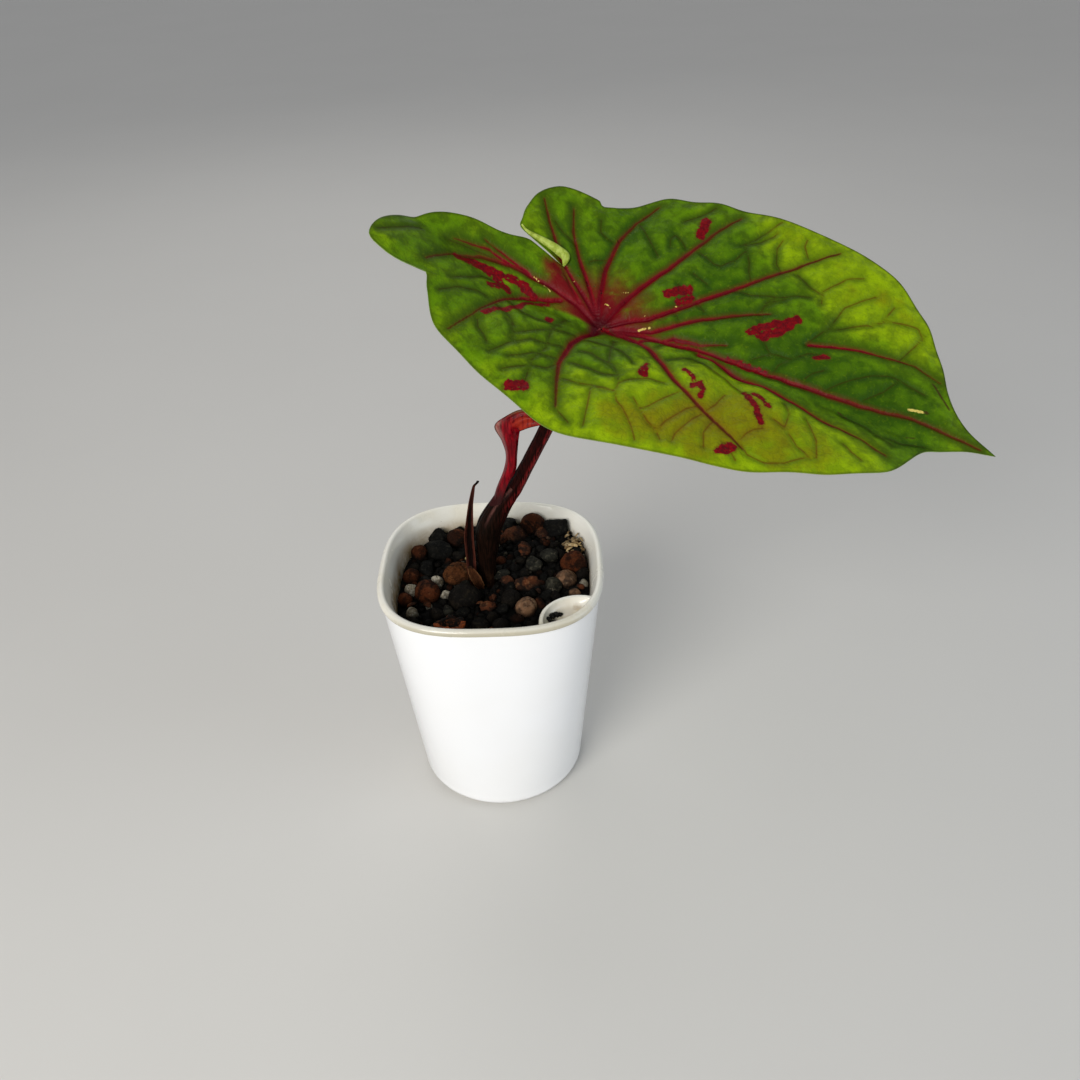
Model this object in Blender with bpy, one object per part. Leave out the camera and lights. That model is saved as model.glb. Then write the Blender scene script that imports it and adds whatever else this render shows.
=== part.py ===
# A caladium in a small self-watering pot. One large heart-shaped leaf on a leaning stalk, a young
# leaf, a bract and a dried scale stand in a coarse mineral mix. The mix fills a liner that hangs by
# its rim in a plain white pot and has a fill basin in one corner.
#
# Sizes are millimetres until an object is made. The origin is the middle of the pot's base, +Z is up
# and -Y is the side with the fill basin, which lies at +X.

import math
import random

import bmesh
import bpy
import numpy as np
from mathutils import Vector
from mathutils.bvhtree import BVHTree
from mathutils.geometry import delaunay_2d_cdt

MM = 0.001
SEAT = 0.35  # gap between pieces that rest on each other

# Pot: a tapered box with bulging sides, round at the base and squarish at the rim.
RIM_WIDTH = 100.0
POT_HEIGHT = 117.5
BASE_WIDTH = 77.2
BASE_EXPONENT = 1.97  # 2 is a circle
RIM_EXPONENT = 2.94  # higher is squarer
SHELL_TOP = 114.0
SHELL_TOP_HALF = 48.9
SHELL_WALL = 2.0
SHELL_FLOOR = 2.4
SECTION_POINTS = 40

# Liner: rests on the shell's top edge, with a hollow foot that reaches down to the water.
LINER_WALL = 1.8
LINER_FLOOR = 38.3
FLOOR_THICKNESS = 1.8
LINER_CLEARANCE = 0.4
FOOT_RADIUS = 13.5
FOOT_WALL = 1.6
WINDOW_SIZE = (3.2, 12.0)  # wide and high
WINDOW_BOTTOM = 9.0

# Fill basin: a round wall cuts off the front right corner of the liner.
COLUMN_CENTRE = (38.0, -42.0)
COLUMN_RADIUS = 16.8
BASIN_WALL = 1.8
BASIN_FLOOR = 112.6
BASIN_LIP = 116.4
BASIN_FLOOR_THICKNESS = 2.0
COLUMN_GAP = 1.0  # between the round wall and the mix
DRAIN_HOLE = (27.3, -36.6, 1.7)  # x, y, radius

# Mix: its top slopes up towards the back right.
SOIL_MIDDLE = 103.5
SOIL_SLOPE = (0.07, 0.10)
CROWN_PIT = (-5.6, 5.4, 8.2, 99.6)  # x, y, radius, floor height

# Tuber, hidden below the stalk.
TUBER_CENTRE = (-3.0, 8.5, 84.0)
TUBER_RADII = (17.0, 16.0, 11.0)

# Stalk: x, y, z and radius along its middle line, from the tuber to the blade.
STALK_LINE = (
    (-2.2, 8.3, 95.5, 3.4),
    (-2.3, 8.0, 102.0, 3.8),
    (-2.3, 7.8, 112.3, 4.4),
    (-1.4, 7.5, 122.0, 5.4),
    (-0.2, 7.3, 131.2, 5.9),
    (5.3, 7.0, 142.3, 5.0),
    (8.9, 6.8, 147.5, 4.2),
    (12.1, 6.6, 151.5, 3.4),
    (17.0, 6.2, 161.2, 3.0),
    (22.3, 5.8, 172.1, 2.9),
    (27.1, 5.4, 182.1, 2.9),
    (32.8, 5.0, 194.1, 2.8),
    (39.9, 4.4, 208.9, 2.6),
)
STALK_TOP_RADIUS = 2.6
STALK_TOP_GAP = 0.8  # below the blade's facets, which dip between the points that are measured
STALK_SIDES = 12

# Leaf blade. Its own axes: u runs along the midrib to the tip, v across to the far side and w up
# through the upper face. The stalk meets it where the main veins start.
HUB = (47.3, 0.0, 226.8)  # the blade's plane at u = v = 0
STALK_MEETS = (0.0, 4.0)  # u, v
LEAF_BEARING = -20.0  # degrees from +X to the midrib
LEAF_DIP = 13.0  # the tip hangs down
LEAF_ROLL = 16.0  # the near side hangs down
BLADE_THICKNESS = 0.9
EDGE_POINTS = 110
NET_SPACING = 5.3  # between the points that carry the blade's waves and vein valleys

# Swellings of the near half: lift, then where along the midrib each one rises and where it falls.
BROWS = ((3.2, (6.0, 20.0), (46.0, 58.0)), (2.4, (59.0, 68.0), (78.0, 92.0)))
BROW_TOP = 5.0  # v where the rise starts
BROW_WIDTH = 5.5

# Outline from the slit's end round the near lobe, the tip and the far lobe, and back to the slit.
BLADE_OUTLINE = (
    (-23, 20), (-32, 20.5), (-47, 18), (-62, 14), (-75, 4), (-83, -14), (-83, -26), (-77, -28),
    (-70, -27), (-63, -22), (-58, -30), (-49, -42), (-33, -48), (-13, -55), (6, -60), (29, -57),
    (52, -53), (75, -48), (101, -36), (119, -25), (131, -5), (143, 3), (156, 7), (143, 13),
    (133, 23), (125, 39), (110, 58), (89, 71), (64, 75), (34, 75), (6, 69), (-10, 58), (-19, 52),
    (-29, 54), (-41, 47), (-45.5, 35), (-43, 25.8), (-32, 24),
)

# Main veins, each from its start to its end. The blade is sunk along them.
MAIN_VEINS = (
    ((0, 4), (21, 4), (40, 6), (68, 5), (92, 5), (109, 6), (124, 8), (150, 7)),
    ((41, 4), (61, -1), (79, -8), (91, -11), (107, -14), (117, -18)),
    ((3, 4), (11, 2), (23, -5), (36, -18), (48, -27), (60, -34), (69, -40)),
    ((0, 4), (-5, -15), (-5, -29), (-2, -39), (2, -50)),
    ((0, 4), (-11, 8), (-25, 10), (-40, 9), (-52, 5), (-60, -2), (-65, -17)),
    ((-18, 7), (-32, 0), (-37, -12), (-40, -22), (-45, -40)),
    ((-4, 8), (-14, 15), (-24, 22), (-35, 35), (-41, 43)),
    ((0, 4), (-10, 17), (-18, 26), (-25, 36), (-29, 46)),
    ((0, 4), (-4, 13), (-7, 27), (-7, 41), (-4, 52), (2, 63)),
    ((0, 4), (9, 24), (16, 36), (23, 50), (29, 62), (35, 71)),
    ((0, 4), (17, 12), (39, 32), (51, 44), (63, 55), (77, 69)),
    ((4, 4), (20, 7), (34, 17), (50, 26), (60, 30)),
    ((78, 23), (97, 28), (118, 30), (129, 26)),
)

# Young leaf: rows of four points from its foot to its tip, left edge first.
YOUNG_LEAF = (
    ((1.6, 5.2, 143.5), (2.6, 3.0, 144.5), (4.0, 2.0, 145.5), (5.8, 1.8, 146.0)),
    ((4.2, 5.6, 152.0), (5.6, 3.4, 153.5), (7.6, 2.8, 155.0), (9.4, 2.8, 155.5)),
    ((7.8, 6.0, 161.0), (9.3, 2.8, 162.0), (11.4, 2.8, 162.0), (12.8, 4.6, 161.0)),
    ((9.0, 6.4, 168.0), (10.4, 2.8, 169.5), (12.6, 2.8, 169.5), (13.8, 4.6, 169.0)),
    ((7.6, 7.0, 174.5), (9.9, 2.6, 176.0), (12.8, 2.6, 176.0), (14.8, 3.6, 177.5)),
    ((5.9, 6.0, 181.0), (9.0, 2.2, 183.6), (12.4, 0.8, 183.6), (15.6, 1.0, 182.0)),
    ((9.2, 4.4, 187.0), (12.1, 1.4, 187.4), (14.6, -0.4, 186.0), (16.3, -0.4, 183.1)),
    ((17.2, 2.6, 191.2), (18.4, 0.4, 189.9), (19.1, -1.2, 188.2), (19.8, -1.4, 184.9)),
    ((25.0, -1.2, 188.4), (25.3, -1.6, 187.8), (25.6, -1.8, 187.1), (25.8, -1.8, 186.4)),
)
YOUNG_THICKNESS = 0.7

# Bract: x, y, z, half width and the depth of its fold, from its foot to its tip.
BRACT_LINE = (
    (-8.6, 4.6, 100.0, 1.6, 1.0),
    (-9.2, 4.4, 107.0, 2.2, 1.4),
    (-9.4, 4.6, 116.0, 2.5, 1.8),
    (-9.3, 4.2, 127.0, 2.6, 1.8),
    (-8.6, 3.6, 136.0, 2.0, 1.4),
    (-7.4, 2.8, 145.0, 1.3, 0.9),
    (-5.9, 2.2, 153.0, 0.8, 0.5),
    (-4.7, 2.0, 158.5, 0.45, 0.2),
)
SCALE_LINE = (
    (-5.8, 2.2, 100.0, 1.8, 0.8),
    (-6.6, 1.0, 105.0, 2.5, 1.2),
    (-8.0, 0.2, 110.0, 2.2, 1.4),
    (-9.8, -0.2, 114.5, 1.0, 0.8),
)
HUSK_THICKNESS = 0.7

# Stones that show in the mix: x, y, radius, flatness and kind.
STONES = (
    (-38.0, 8.5, 4.2, 0.95, "ball"), (-35.5, 25.0, 4.4, 0.95, "ball"),
    (-16.0, 7.0, 6.7, 0.95, "ball"), (-29.5, -4.0, 6.2, 0.95, "ball"),
    (18.5, 38.5, 6.0, 0.95, "ball"), (37.0, 8.0, 6.2, 0.95, "ball"),
    (-39.5, -6.5, 3.6, 0.95, "ball"), (-18.0, 33.0, 4.9, 0.95, "ball"),
    (15.5, -18.0, 5.3, 0.85, "ball"), (33.5, -1.0, 5.0, 0.85, "ball"),
    (37.0, -11.0, 2.8, 0.95, "ball"), (-12.0, -8.5, 7.4, 0.90, "ball"),
    (-37.0, -0.5, 3.6, 0.90, "ball"), (-25.5, 4.0, 3.7, 0.90, "ball"),
    (-21.0, -5.0, 2.9, 0.90, "ball"), (-35.5, -15.5, 3.4, 0.90, "ball"),
    (-25.5, 35.0, 5.2, 0.80, "chunk"), (-27.0, 24.0, 6.4, 0.70, "chunk"),
    (-31.0, 13.5, 4.8, 0.85, "chunk"), (30.0, 34.5, 6.0, 0.85, "chunk"),
    (6.2, 40.0, 5.0, 0.85, "chunk"), (10.0, 33.0, 6.2, 0.70, "chunk"),
    (14.5, 22.0, 5.4, 0.45, "chunk"), (15.8, -2.5, 6.4, 0.45, "chunk"),
    (-17.0, -29.0, 6.6, 0.60, "chunk"), (6.5, 1.0, 3.2, 0.60, "chunk"),
    (-1.5, -15.0, 4.0, 0.60, "chunk"), (23.5, 33.0, 4.6, 0.80, "chunk"),
    (27.0, -5.5, 4.0, 0.80, "chunk"), (26.0, 14.5, 4.2, 0.75, "chunk"),
    (19.5, 11.0, 4.2, 0.80, "chunk"), (37.0, 22.0, 4.8, 0.80, "chunk"),
    (8.5, -11.5, 5.0, 0.85, "chunk"), (-4.5, -27.0, 4.4, 0.85, "chunk"),
    (4.5, -27.5, 3.9, 0.85, "chunk"),
)
FILLER_STONES = 34
FILLER_SEED = 11
SPILLED_GRAINS = ((29.1, -34.8, 1.5), (27.4, -35.7, 1.7), (26.0, -37.4, 1.5))


def clear_scene():
    for item in list(bpy.data.objects):
        bpy.data.objects.remove(item, do_unlink=True)


def surface(name, colour, roughness, metallic=0.0):
    material = bpy.data.materials.new(name)
    material.use_nodes = True
    shader = material.node_tree.nodes["Principled BSDF"]
    shader.inputs["Base Color"].default_value = (*colour, 1.0)
    shader.inputs["Roughness"].default_value = roughness
    shader.inputs["Metallic"].default_value = metallic
    material.diffuse_color = (*colour, 1.0)
    return material


def add_mesh(name, points, faces, material=None, sharp_angle=35.0):
    """Makes an object from points in millimetres."""
    mesh = bpy.data.meshes.new(name)
    mesh.from_pydata([[value * MM for value in point] for point in points], [], faces)
    mesh.validate()
    mesh.shade_smooth()
    mesh.set_sharp_from_angle(angle=math.radians(sharp_angle))
    if material is not None:
        mesh.materials.append(material)
    item = bpy.data.objects.new(name, mesh)
    bpy.context.scene.collection.objects.link(item)
    return item


def hide_cutter(item):
    item.hide_render = True
    item.display_type = "WIRE"
    return item


def cut(item, cutter):
    """Takes the cutter's shape out of the item and keeps the result as the item's mesh."""
    step = item.modifiers.new("cut", "BOOLEAN")
    step.operation = "DIFFERENCE"
    step.solver = "EXACT"
    step.object = cutter
    apply_modifiers(item)
    bpy.data.objects.remove(cutter, do_unlink=True)


def apply_modifiers(item):
    bpy.context.view_layer.update()
    evaluated = item.evaluated_get(bpy.context.evaluated_depsgraph_get())
    mesh = bpy.data.meshes.new_from_object(evaluated)
    item.modifiers.clear()
    item.data = mesh


def fuse_all(item, others):
    """Joins the others to the item in one Boolean union, then removes them."""
    group = bpy.data.collections.new("to fuse")
    bpy.context.scene.collection.children.link(group)
    for other in others:
        bpy.context.scene.collection.objects.unlink(other)
        group.objects.link(other)
    step = item.modifiers.new("fuse", "BOOLEAN")
    step.operation = "UNION"
    step.solver = "MANIFOLD"
    step.operand_type = "COLLECTION"
    step.collection = group
    apply_modifiers(item)
    for other in list(group.objects):
        bpy.data.objects.remove(other, do_unlink=True)
    bpy.data.collections.remove(group)


def keep_largest_body(item):
    """Drops loose scraps that a cut leaves behind."""
    shape = bmesh.new()
    shape.from_mesh(item.data)
    bmesh.ops.remove_doubles(shape, verts=shape.verts, dist=0.01 * MM)
    bmesh.ops.dissolve_degenerate(shape, edges=shape.edges, dist=0.01 * MM)
    unseen = set(shape.faces)
    bodies = []
    while unseen:
        body = {unseen.pop()}
        edge_of = list(body)
        while edge_of:
            face = edge_of.pop()
            for edge in face.edges:
                for other in edge.link_faces:
                    if other in unseen:
                        unseen.discard(other)
                        body.add(other)
                        edge_of.append(other)
        bodies.append(body)
    largest = max(bodies, key=len)
    scraps = [face for body in bodies if body is not largest for face in body]
    bmesh.ops.delete(shape, geom=scraps, context="FACES")
    shape.to_mesh(item.data)
    shape.free()
    item.data.update()


# Sections of the pot


def exponent_at(z):
    return BASE_EXPONENT + (RIM_EXPONENT - BASE_EXPONENT) * min(max(z / POT_HEIGHT, 0.0), 1.0)


def shell_half(z):
    return BASE_WIDTH / 2 + (SHELL_TOP_HALF - BASE_WIDTH / 2) * z / SHELL_TOP


def liner_outer_half(z):
    return shell_half(z) - SHELL_WALL - LINER_CLEARANCE - 0.008 * (SHELL_TOP - z)


def liner_inner_half(z):
    return liner_outer_half(z) - LINER_WALL


def squircle_radius(half, exponent, angle):
    across = abs(math.cos(angle)) ** exponent + abs(math.sin(angle)) ** exponent
    return half * across ** (-1.0 / exponent)


def column_radius(reach, angle):
    """Distance from the pot's axis to the near side of the basin's round wall, or a large value."""
    centre = math.hypot(*COLUMN_CENTRE)
    turn = angle - math.atan2(COLUMN_CENTRE[1], COLUMN_CENTRE[0])
    side = centre * math.sin(turn)
    if abs(side) >= reach or math.cos(turn) <= 0:
        return 1e9
    return centre * math.cos(turn) - math.sqrt(reach * reach - side * side)


def even_angles(count):
    return [2 * math.pi * step / count for step in range(count)]


def notched_angles():
    """Even angles, with finer ones across the basin's corner."""
    corner = math.atan2(COLUMN_CENTRE[1], COLUMN_CENTRE[0])
    spread = math.radians(20.0)
    fine = 12
    coarse = 32
    rest = 2 * math.pi - 2 * spread
    angles = [corner - spread + 2 * spread * step / fine for step in range(fine)]
    angles += [corner + spread + rest * step / coarse for step in range(coarse)]
    return angles


def ring(half, z, angles, exponent=None, reach=None):
    """One level of a section: a squircle, less the basin's column where reach is given."""
    power = exponent_at(z) if exponent is None else exponent
    points = []
    for angle in angles:
        radius = squircle_radius(half, power, angle)
        if reach is not None:
            radius = min(radius, column_radius(reach, angle))
        points.append((radius * math.cos(angle), radius * math.sin(angle), z))
    return points


def loft(rings):
    """Closed skin through rings of equal length, with a flat end at each end.

    The sides are triangles with one slant, so that two nested lofts bend alike and stay apart.
    """
    count = len(rings[0])
    points = [point for level in rings for point in level]
    faces = [list(reversed(range(count)))]
    for level in range(len(rings) - 1):
        for step in range(count):
            after = (step + 1) % count
            low = level * count
            high = low + count
            if rings[level + 1][step][2] >= rings[level][step][2]:
                faces.append((low + step, low + after, high + after))
                faces.append((low + step, high + after, high + step))
            else:
                faces.append((low + step, low + after, high + step))
                faces.append((low + after, high + after, high + step))
    last = (len(rings) - 1) * count
    faces.append(list(range(last, last + count)))
    return points, faces


def build_outer_pot(material):
    angles = even_angles(SECTION_POINTS)
    edge = SHELL_TOP_HALF
    levels = [(33.5, 0.0), (36.6, 0.5), (38.2, 2.2), (shell_half(5.5), 5.5)]
    levels += [(shell_half(z), z) for z in (40.0, 78.0, 113.4)]
    levels += [(edge - 0.5, SHELL_TOP), (edge - SHELL_WALL + 0.3, SHELL_TOP)]
    levels += [(shell_half(z) - SHELL_WALL, z) for z in (113.4, 78.0, 40.0, 7.0)]
    levels += [(35.2, 3.6), (32.0, SHELL_FLOOR)]
    rings = [ring(half, z, angles) for half, z in levels]
    return add_mesh("outer_pot", *loft(rings), material)


def basin_cutter():
    """The space inside the basin: the corner of the liner within the round wall."""
    reach = COLUMN_RADIUS - BASIN_WALL
    corner = math.atan2(COLUMN_CENTRE[1], COLUMN_CENTRE[0])
    low = (BASIN_FLOOR, liner_inner_half(BASIN_FLOOR) + 0.3)
    high = (POT_HEIGHT + 1.0, RIM_WIDTH / 2 - 3.3)
    rings = []
    for z, half in (low, high):
        power = exponent_at(z)
        inner = []
        outer = []
        for step in range(-10, 11):
            angle = corner + math.radians(1.6) * step
            near = column_radius(reach, angle)
            wall = squircle_radius(half, power, angle)
            if near < wall - 0.2:
                inner.append((near * math.cos(angle), near * math.sin(angle), z))
                outer.append((wall * math.cos(angle), wall * math.sin(angle), z))
        rings.append(outer + inner[::-1])
    return hide_cutter(add_mesh("basin space", *loft(rings)))


def box_cutter(name, low, high):
    points = [(x, y, z) for z in (low[2], high[2]) for y in (low[1], high[1]) for x in (low[0], high[0])]
    faces = [(0, 2, 3, 1), (4, 5, 7, 6), (0, 1, 5, 4), (2, 6, 7, 3), (0, 4, 6, 2), (1, 3, 7, 5)]
    return hide_cutter(add_mesh(name, points, faces))


def build_liner(material):
    angles = notched_angles()
    shaft = COLUMN_RADIUS - BASIN_WALL
    foot_bottom = SHELL_FLOOR + SEAT
    floor_under = LINER_FLOOR - FLOOR_THICKNESS
    shaft_top = BASIN_FLOOR - BASIN_FLOOR_THICKNESS
    flange = SHELL_TOP + SEAT
    rings = [
        ring(FOOT_RADIUS - 2.5, foot_bottom, angles, 2.0),
        ring(FOOT_RADIUS - 1.2, foot_bottom + 1.0, angles, 2.0),
        ring(FOOT_RADIUS, floor_under, angles, 2.0),
        ring(liner_outer_half(floor_under) - 1.0, floor_under, angles, reach=shaft),
        ring(liner_outer_half(floor_under + 1.2), floor_under + 1.2, angles, reach=shaft),
        ring(liner_outer_half(75.0), 75.0, angles, reach=shaft),
        ring(liner_outer_half(shaft_top), shaft_top, angles, reach=shaft),
        ring(liner_outer_half(shaft_top), shaft_top, angles),
        ring(liner_outer_half(113.4), 113.4, angles),
        ring(liner_outer_half(113.4), flange, angles),
    ]
    edge = RIM_WIDTH / 2
    lip = ((0.8, flange), (0.1, 115.0), (0.0, 116.0), (0.5, 117.0), (1.5, POT_HEIGHT))
    lip += ((2.4, 117.4), (3.0, 117.0), (3.2, BASIN_LIP))
    rings += [ring(edge - inset, z, angles) for inset, z in lip]
    rings += [
        ring(edge - 3.2, BASIN_LIP, angles, reach=COLUMN_RADIUS),
        ring(liner_inner_half(110.0), 110.0, angles, reach=COLUMN_RADIUS),
        ring(liner_inner_half(95.0), 95.0, angles, reach=COLUMN_RADIUS),
        ring(liner_inner_half(75.0), 75.0, angles, reach=COLUMN_RADIUS),
        ring(liner_inner_half(LINER_FLOOR + 1.5), LINER_FLOOR + 1.5, angles, reach=COLUMN_RADIUS),
        ring(liner_inner_half(LINER_FLOOR) - 1.2, LINER_FLOOR, angles, reach=COLUMN_RADIUS),
        ring(FOOT_RADIUS - FOOT_WALL, LINER_FLOOR, angles, 2.0),
        ring(FOOT_RADIUS - FOOT_WALL - 1.0, foot_bottom + 1.5, angles, 2.0),
    ]
    liner = add_mesh("inner_liner", *loft(rings), material)
    cut(liner, basin_cutter())
    x, y, radius = DRAIN_HOLE
    drain = [ring(radius, z, even_angles(12), 2.0) for z in (shaft_top - 1.0, BASIN_FLOOR + 1.0)]
    drain = [[(x + px, y + py, pz) for px, py, pz in level] for level in drain]
    cut(liner, hide_cutter(add_mesh("drain hole", *loft(drain))))
    wide, high = WINDOW_SIZE
    top = WINDOW_BOTTOM + high
    reach = FOOT_RADIUS + 3.0
    cut(liner, box_cutter("windows x", (-reach, -wide / 2, WINDOW_BOTTOM), (reach, wide / 2, top)))
    cut(liner, box_cutter("windows y", (-wide / 2, -reach, WINDOW_BOTTOM), (wide / 2, reach, top)))
    return liner


# The mix and what stands in it


def soil_height(x, y):
    return SOIL_MIDDLE + SOIL_SLOPE[0] * x + SOIL_SLOPE[1] * y


def wall_radius(angle, z, gap):
    """How far the mix may reach from the pot's axis at this angle and height."""
    wall = squircle_radius(liner_inner_half(z) - gap, exponent_at(z), angle)
    return min(wall, column_radius(COLUMN_RADIUS + COLUMN_GAP + gap - SEAT, angle))


def stone_points(rng, x, y, radius, flatness, kind):
    """A lumpy ball or an angular chunk, pressed flat where it meets the liner."""
    shape = bmesh.new()
    bmesh.ops.create_icosphere(shape, subdivisions=2 if kind == "ball" else 1, radius=radius)
    lumps = []
    for _ in range(6):
        way = Vector([rng.gauss(0, 1) for _ in range(3)]).normalized()
        lumps.append((way, rng.uniform(-0.5, 1)))
    rough = 0.06 if kind == "ball" else 0.22
    stretch = Vector((1.0, rng.uniform(0.82, 1.0), flatness))
    turn = rng.uniform(0, 2 * math.pi)
    z = soil_height(x, y) + radius * flatness * rng.uniform(0.15, 0.45)
    points = []
    for vertex in shape.verts:
        way = vertex.co.normalized()
        bump = sum(size * max(way.dot(lump), 0.0) ** 2 for lump, size in lumps)
        place = vertex.co * (1.0 + rough * bump)
        place = Vector((place.x * stretch.x, place.y * stretch.y, place.z * stretch.z))
        px = x + place.x * math.cos(turn) - place.y * math.sin(turn)
        py = y + place.x * math.sin(turn) + place.y * math.cos(turn)
        pz = z + place.z
        angle = math.atan2(py, px)
        reach = min(math.hypot(px, py), wall_radius(angle, pz, SEAT + 0.4))
        points.append((reach * math.cos(angle), reach * math.sin(angle), pz))
    faces = [[vertex.index for vertex in face.verts] for face in shape.faces]
    shape.free()
    return points, faces


def filler_places(rng):
    """Seeded places for the small stones between the ones that are named."""
    placed = [stone[:3] for stone in STONES]
    places = []
    tries = 0
    while len(places) < FILLER_STONES and tries < 6000:
        tries += 1
        radius = rng.uniform(2.4, 4.2)
        x = rng.uniform(-42, 42)
        y = rng.uniform(-42, 42)
        reach = wall_radius(math.atan2(y, x), soil_height(x, y), SEAT)
        inside = math.hypot(x, y) < reach - 0.9 * radius
        pit = math.hypot(x - CROWN_PIT[0], y - CROWN_PIT[1]) > CROWN_PIT[2] + 0.5 * radius
        free = all(math.hypot(x - px, y - py) > 0.78 * (radius + pr) for px, py, pr in placed)
        if inside and pit and free:
            placed.append((x, y, radius))
            places.append((x, y, radius, rng.uniform(0.6, 0.95), "chunk"))
    return places


def tuber_rings(extra):
    """The tuber's skin, grown outwards by extra."""
    rings = []
    for step in range(1, 10):
        polar = math.pi * step / 10
        level = []
        for angle in even_angles(20):
            lump = 1.0 + 0.05 * math.sin(3 * angle + 1.0) * math.sin(polar)
            level.append(
                (
                    TUBER_CENTRE[0] + (TUBER_RADII[0] * lump + extra) * math.sin(polar) * math.cos(angle),
                    TUBER_CENTRE[1] + (TUBER_RADII[1] * lump + extra) * math.sin(polar) * math.sin(angle),
                    TUBER_CENTRE[2] - (TUBER_RADII[2] + extra) * math.cos(polar),
                )
            )
        rings.append(level)
    return rings


def smooth_line(points, count):
    """Catmull-Rom curve through rows of numbers, at count even steps."""
    data = np.array(points, float)
    data = np.vstack([2 * data[0] - data[1], data, 2 * data[-1] - data[-2]])
    spans = len(data) - 3
    result = []
    for step in range(count):
        place = spans * step / (count - 1)
        index = min(int(place), spans - 1)
        t = place - index
        a, b, c, d = data[index : index + 4]
        value = 0.5 * (2 * b + (c - a) * t + (2 * a - 5 * b + 4 * c - d) * t * t
                       + (3 * b - a - 3 * c + d) * t ** 3)
        result.append(value)
    return np.array(result)


def stalk_stations():
    return smooth_line(STALK_LINE, 26)


def tube_ring(centre, ahead, radius, sides):
    across = Vector(ahead).cross(Vector((0, 1, 0))).normalized()
    up = across.cross(Vector(ahead)).normalized()
    level = []
    for angle in even_angles(sides):
        offset = across * (radius * math.cos(angle)) - up * (radius * math.sin(angle))
        level.append(tuple(Vector(centre) + offset))
    return level


def stalk_rings(extra, sides, stations):
    rings = []
    for index, (x, y, z, radius) in enumerate(stations):
        before = stations[max(index - 1, 0)][:3]
        after = stations[min(index + 1, len(stations) - 1)][:3]
        rings.append(tube_ring((x, y, z), after - before, radius + extra, sides))
    return rings


def build_substrate(material):
    """The filled mix: a core that fits the liner and its foot, with stones fused to its top."""
    angles = notched_angles()
    gap = SEAT
    foot_floor = SHELL_FLOOR + SEAT + 1.5 + SEAT
    core_radius = FOOT_RADIUS - FOOT_WALL - 1.0 - gap
    above_floor = LINER_FLOOR + SEAT
    column = COLUMN_RADIUS + COLUMN_GAP
    top = []
    for angle in angles:
        z = SOIL_MIDDLE
        for _ in range(4):
            reach = wall_radius(angle, z, gap)
            x, y = reach * math.cos(angle), reach * math.sin(angle)
            z = soil_height(x, y)
        top.append((x, y, z))
    rings = [
        ring(core_radius, foot_floor, angles, 2.0),
        ring(core_radius, above_floor, angles, 2.0),
        ring(liner_inner_half(above_floor) - 2.2, above_floor, angles, reach=column),
        ring(liner_inner_half(above_floor + 2) - gap - 0.2, above_floor + 2.0, angles, reach=column),
        ring(liner_inner_half(75.0) - gap, 75.0, angles, reach=column),
        ring(liner_inner_half(95.0) - gap, 95.0, angles, reach=column),
        top,
    ]
    core = add_mesh("substrate", *loft(rings), material)
    rng = random.Random(FILLER_SEED)
    stones = []
    for stone in list(STONES) + filler_places(rng):
        points, faces = stone_points(rng, *stone)
        stones.append(add_mesh("stone", points, faces))
    fuse_all(core, stones)
    hollow = hide_cutter(add_mesh("tuber space", *loft(tuber_rings(SEAT))))
    cut(core, hollow)
    stations = stalk_stations()
    low = [station for station in stations if station[2] < 128]
    low.insert(0, low[0] - (0, 0, 4.0, 0))
    passage = stalk_rings(0.5, STALK_SIDES, np.array(low))
    cut(core, hide_cutter(add_mesh("stalk space", *loft(passage))))
    x, y, radius, floor = CROWN_PIT
    pit = [[(x + px, y + py, pz) for px, py, pz in ring(radius, z, even_angles(14), 2.0)]
           for z in (floor, 122.0)]
    cut(core, hide_cutter(add_mesh("crown pit", *loft(pit))))
    keep_largest_body(core)
    return core


def build_spilled_grit(material):
    """A few grains that fell on the basin's floor, stuck together."""
    rng = random.Random(4)
    grains = []
    for x, y, radius in SPILLED_GRAINS:
        shape = bmesh.new()
        bmesh.ops.create_icosphere(shape, subdivisions=1, radius=radius)
        z = BASIN_FLOOR + SEAT + 0.75 * radius
        points = []
        for vertex in shape.verts:
            place = vertex.co * rng.uniform(0.85, 1.1)
            height = max(z + 0.8 * place.z, BASIN_FLOOR + SEAT)
            points.append((x + place.x, y + place.y, height))
        faces = [[vertex.index for vertex in face.verts] for face in shape.faces]
        shape.free()
        grains.append(add_mesh("spilled_grit", points, faces, material))
    fuse_all(grains[0], grains[1:])
    return grains[0]


# The leaf


def leaf_axes():
    bearing = math.radians(LEAF_BEARING)
    dip = math.radians(LEAF_DIP)
    roll = math.radians(LEAF_ROLL)
    level = Vector((math.cos(bearing), math.sin(bearing), 0.0))
    side = Vector((-math.sin(bearing), math.cos(bearing), 0.0))
    up = Vector((0.0, 0.0, 1.0))
    along = level * math.cos(dip) - up * math.sin(dip)
    normal = along.cross(side)
    across = side * math.cos(roll) + normal * math.sin(roll)
    return along, across, along.cross(across)


def distance_to_veins(u, v):
    """Distance to the nearest main vein, and how far along its length that is, from 0 to 1."""
    nearest = np.full(u.shape, 1e9)
    along = np.zeros(u.shape)
    for vein in MAIN_VEINS:
        line = np.array(vein, float)
        steps = len(line) - 1
        for index in range(steps):
            start, end = line[index], line[index + 1]
            way = end - start
            t = ((u - start[0]) * way[0] + (v - start[1]) * way[1]) / (way @ way)
            t = np.clip(t, 0, 1)
            gap = np.hypot(u - start[0] - t * way[0], v - start[1] - t * way[1])
            closer = gap < nearest
            nearest = np.where(closer, gap, nearest)
            along = np.where(closer, (index + t) / steps, along)
    return nearest, along


def smooth_step(value, start, end):
    t = np.clip((value - start) / (end - start), 0, 1)
    return t * t * (3 - 2 * t)


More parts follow.
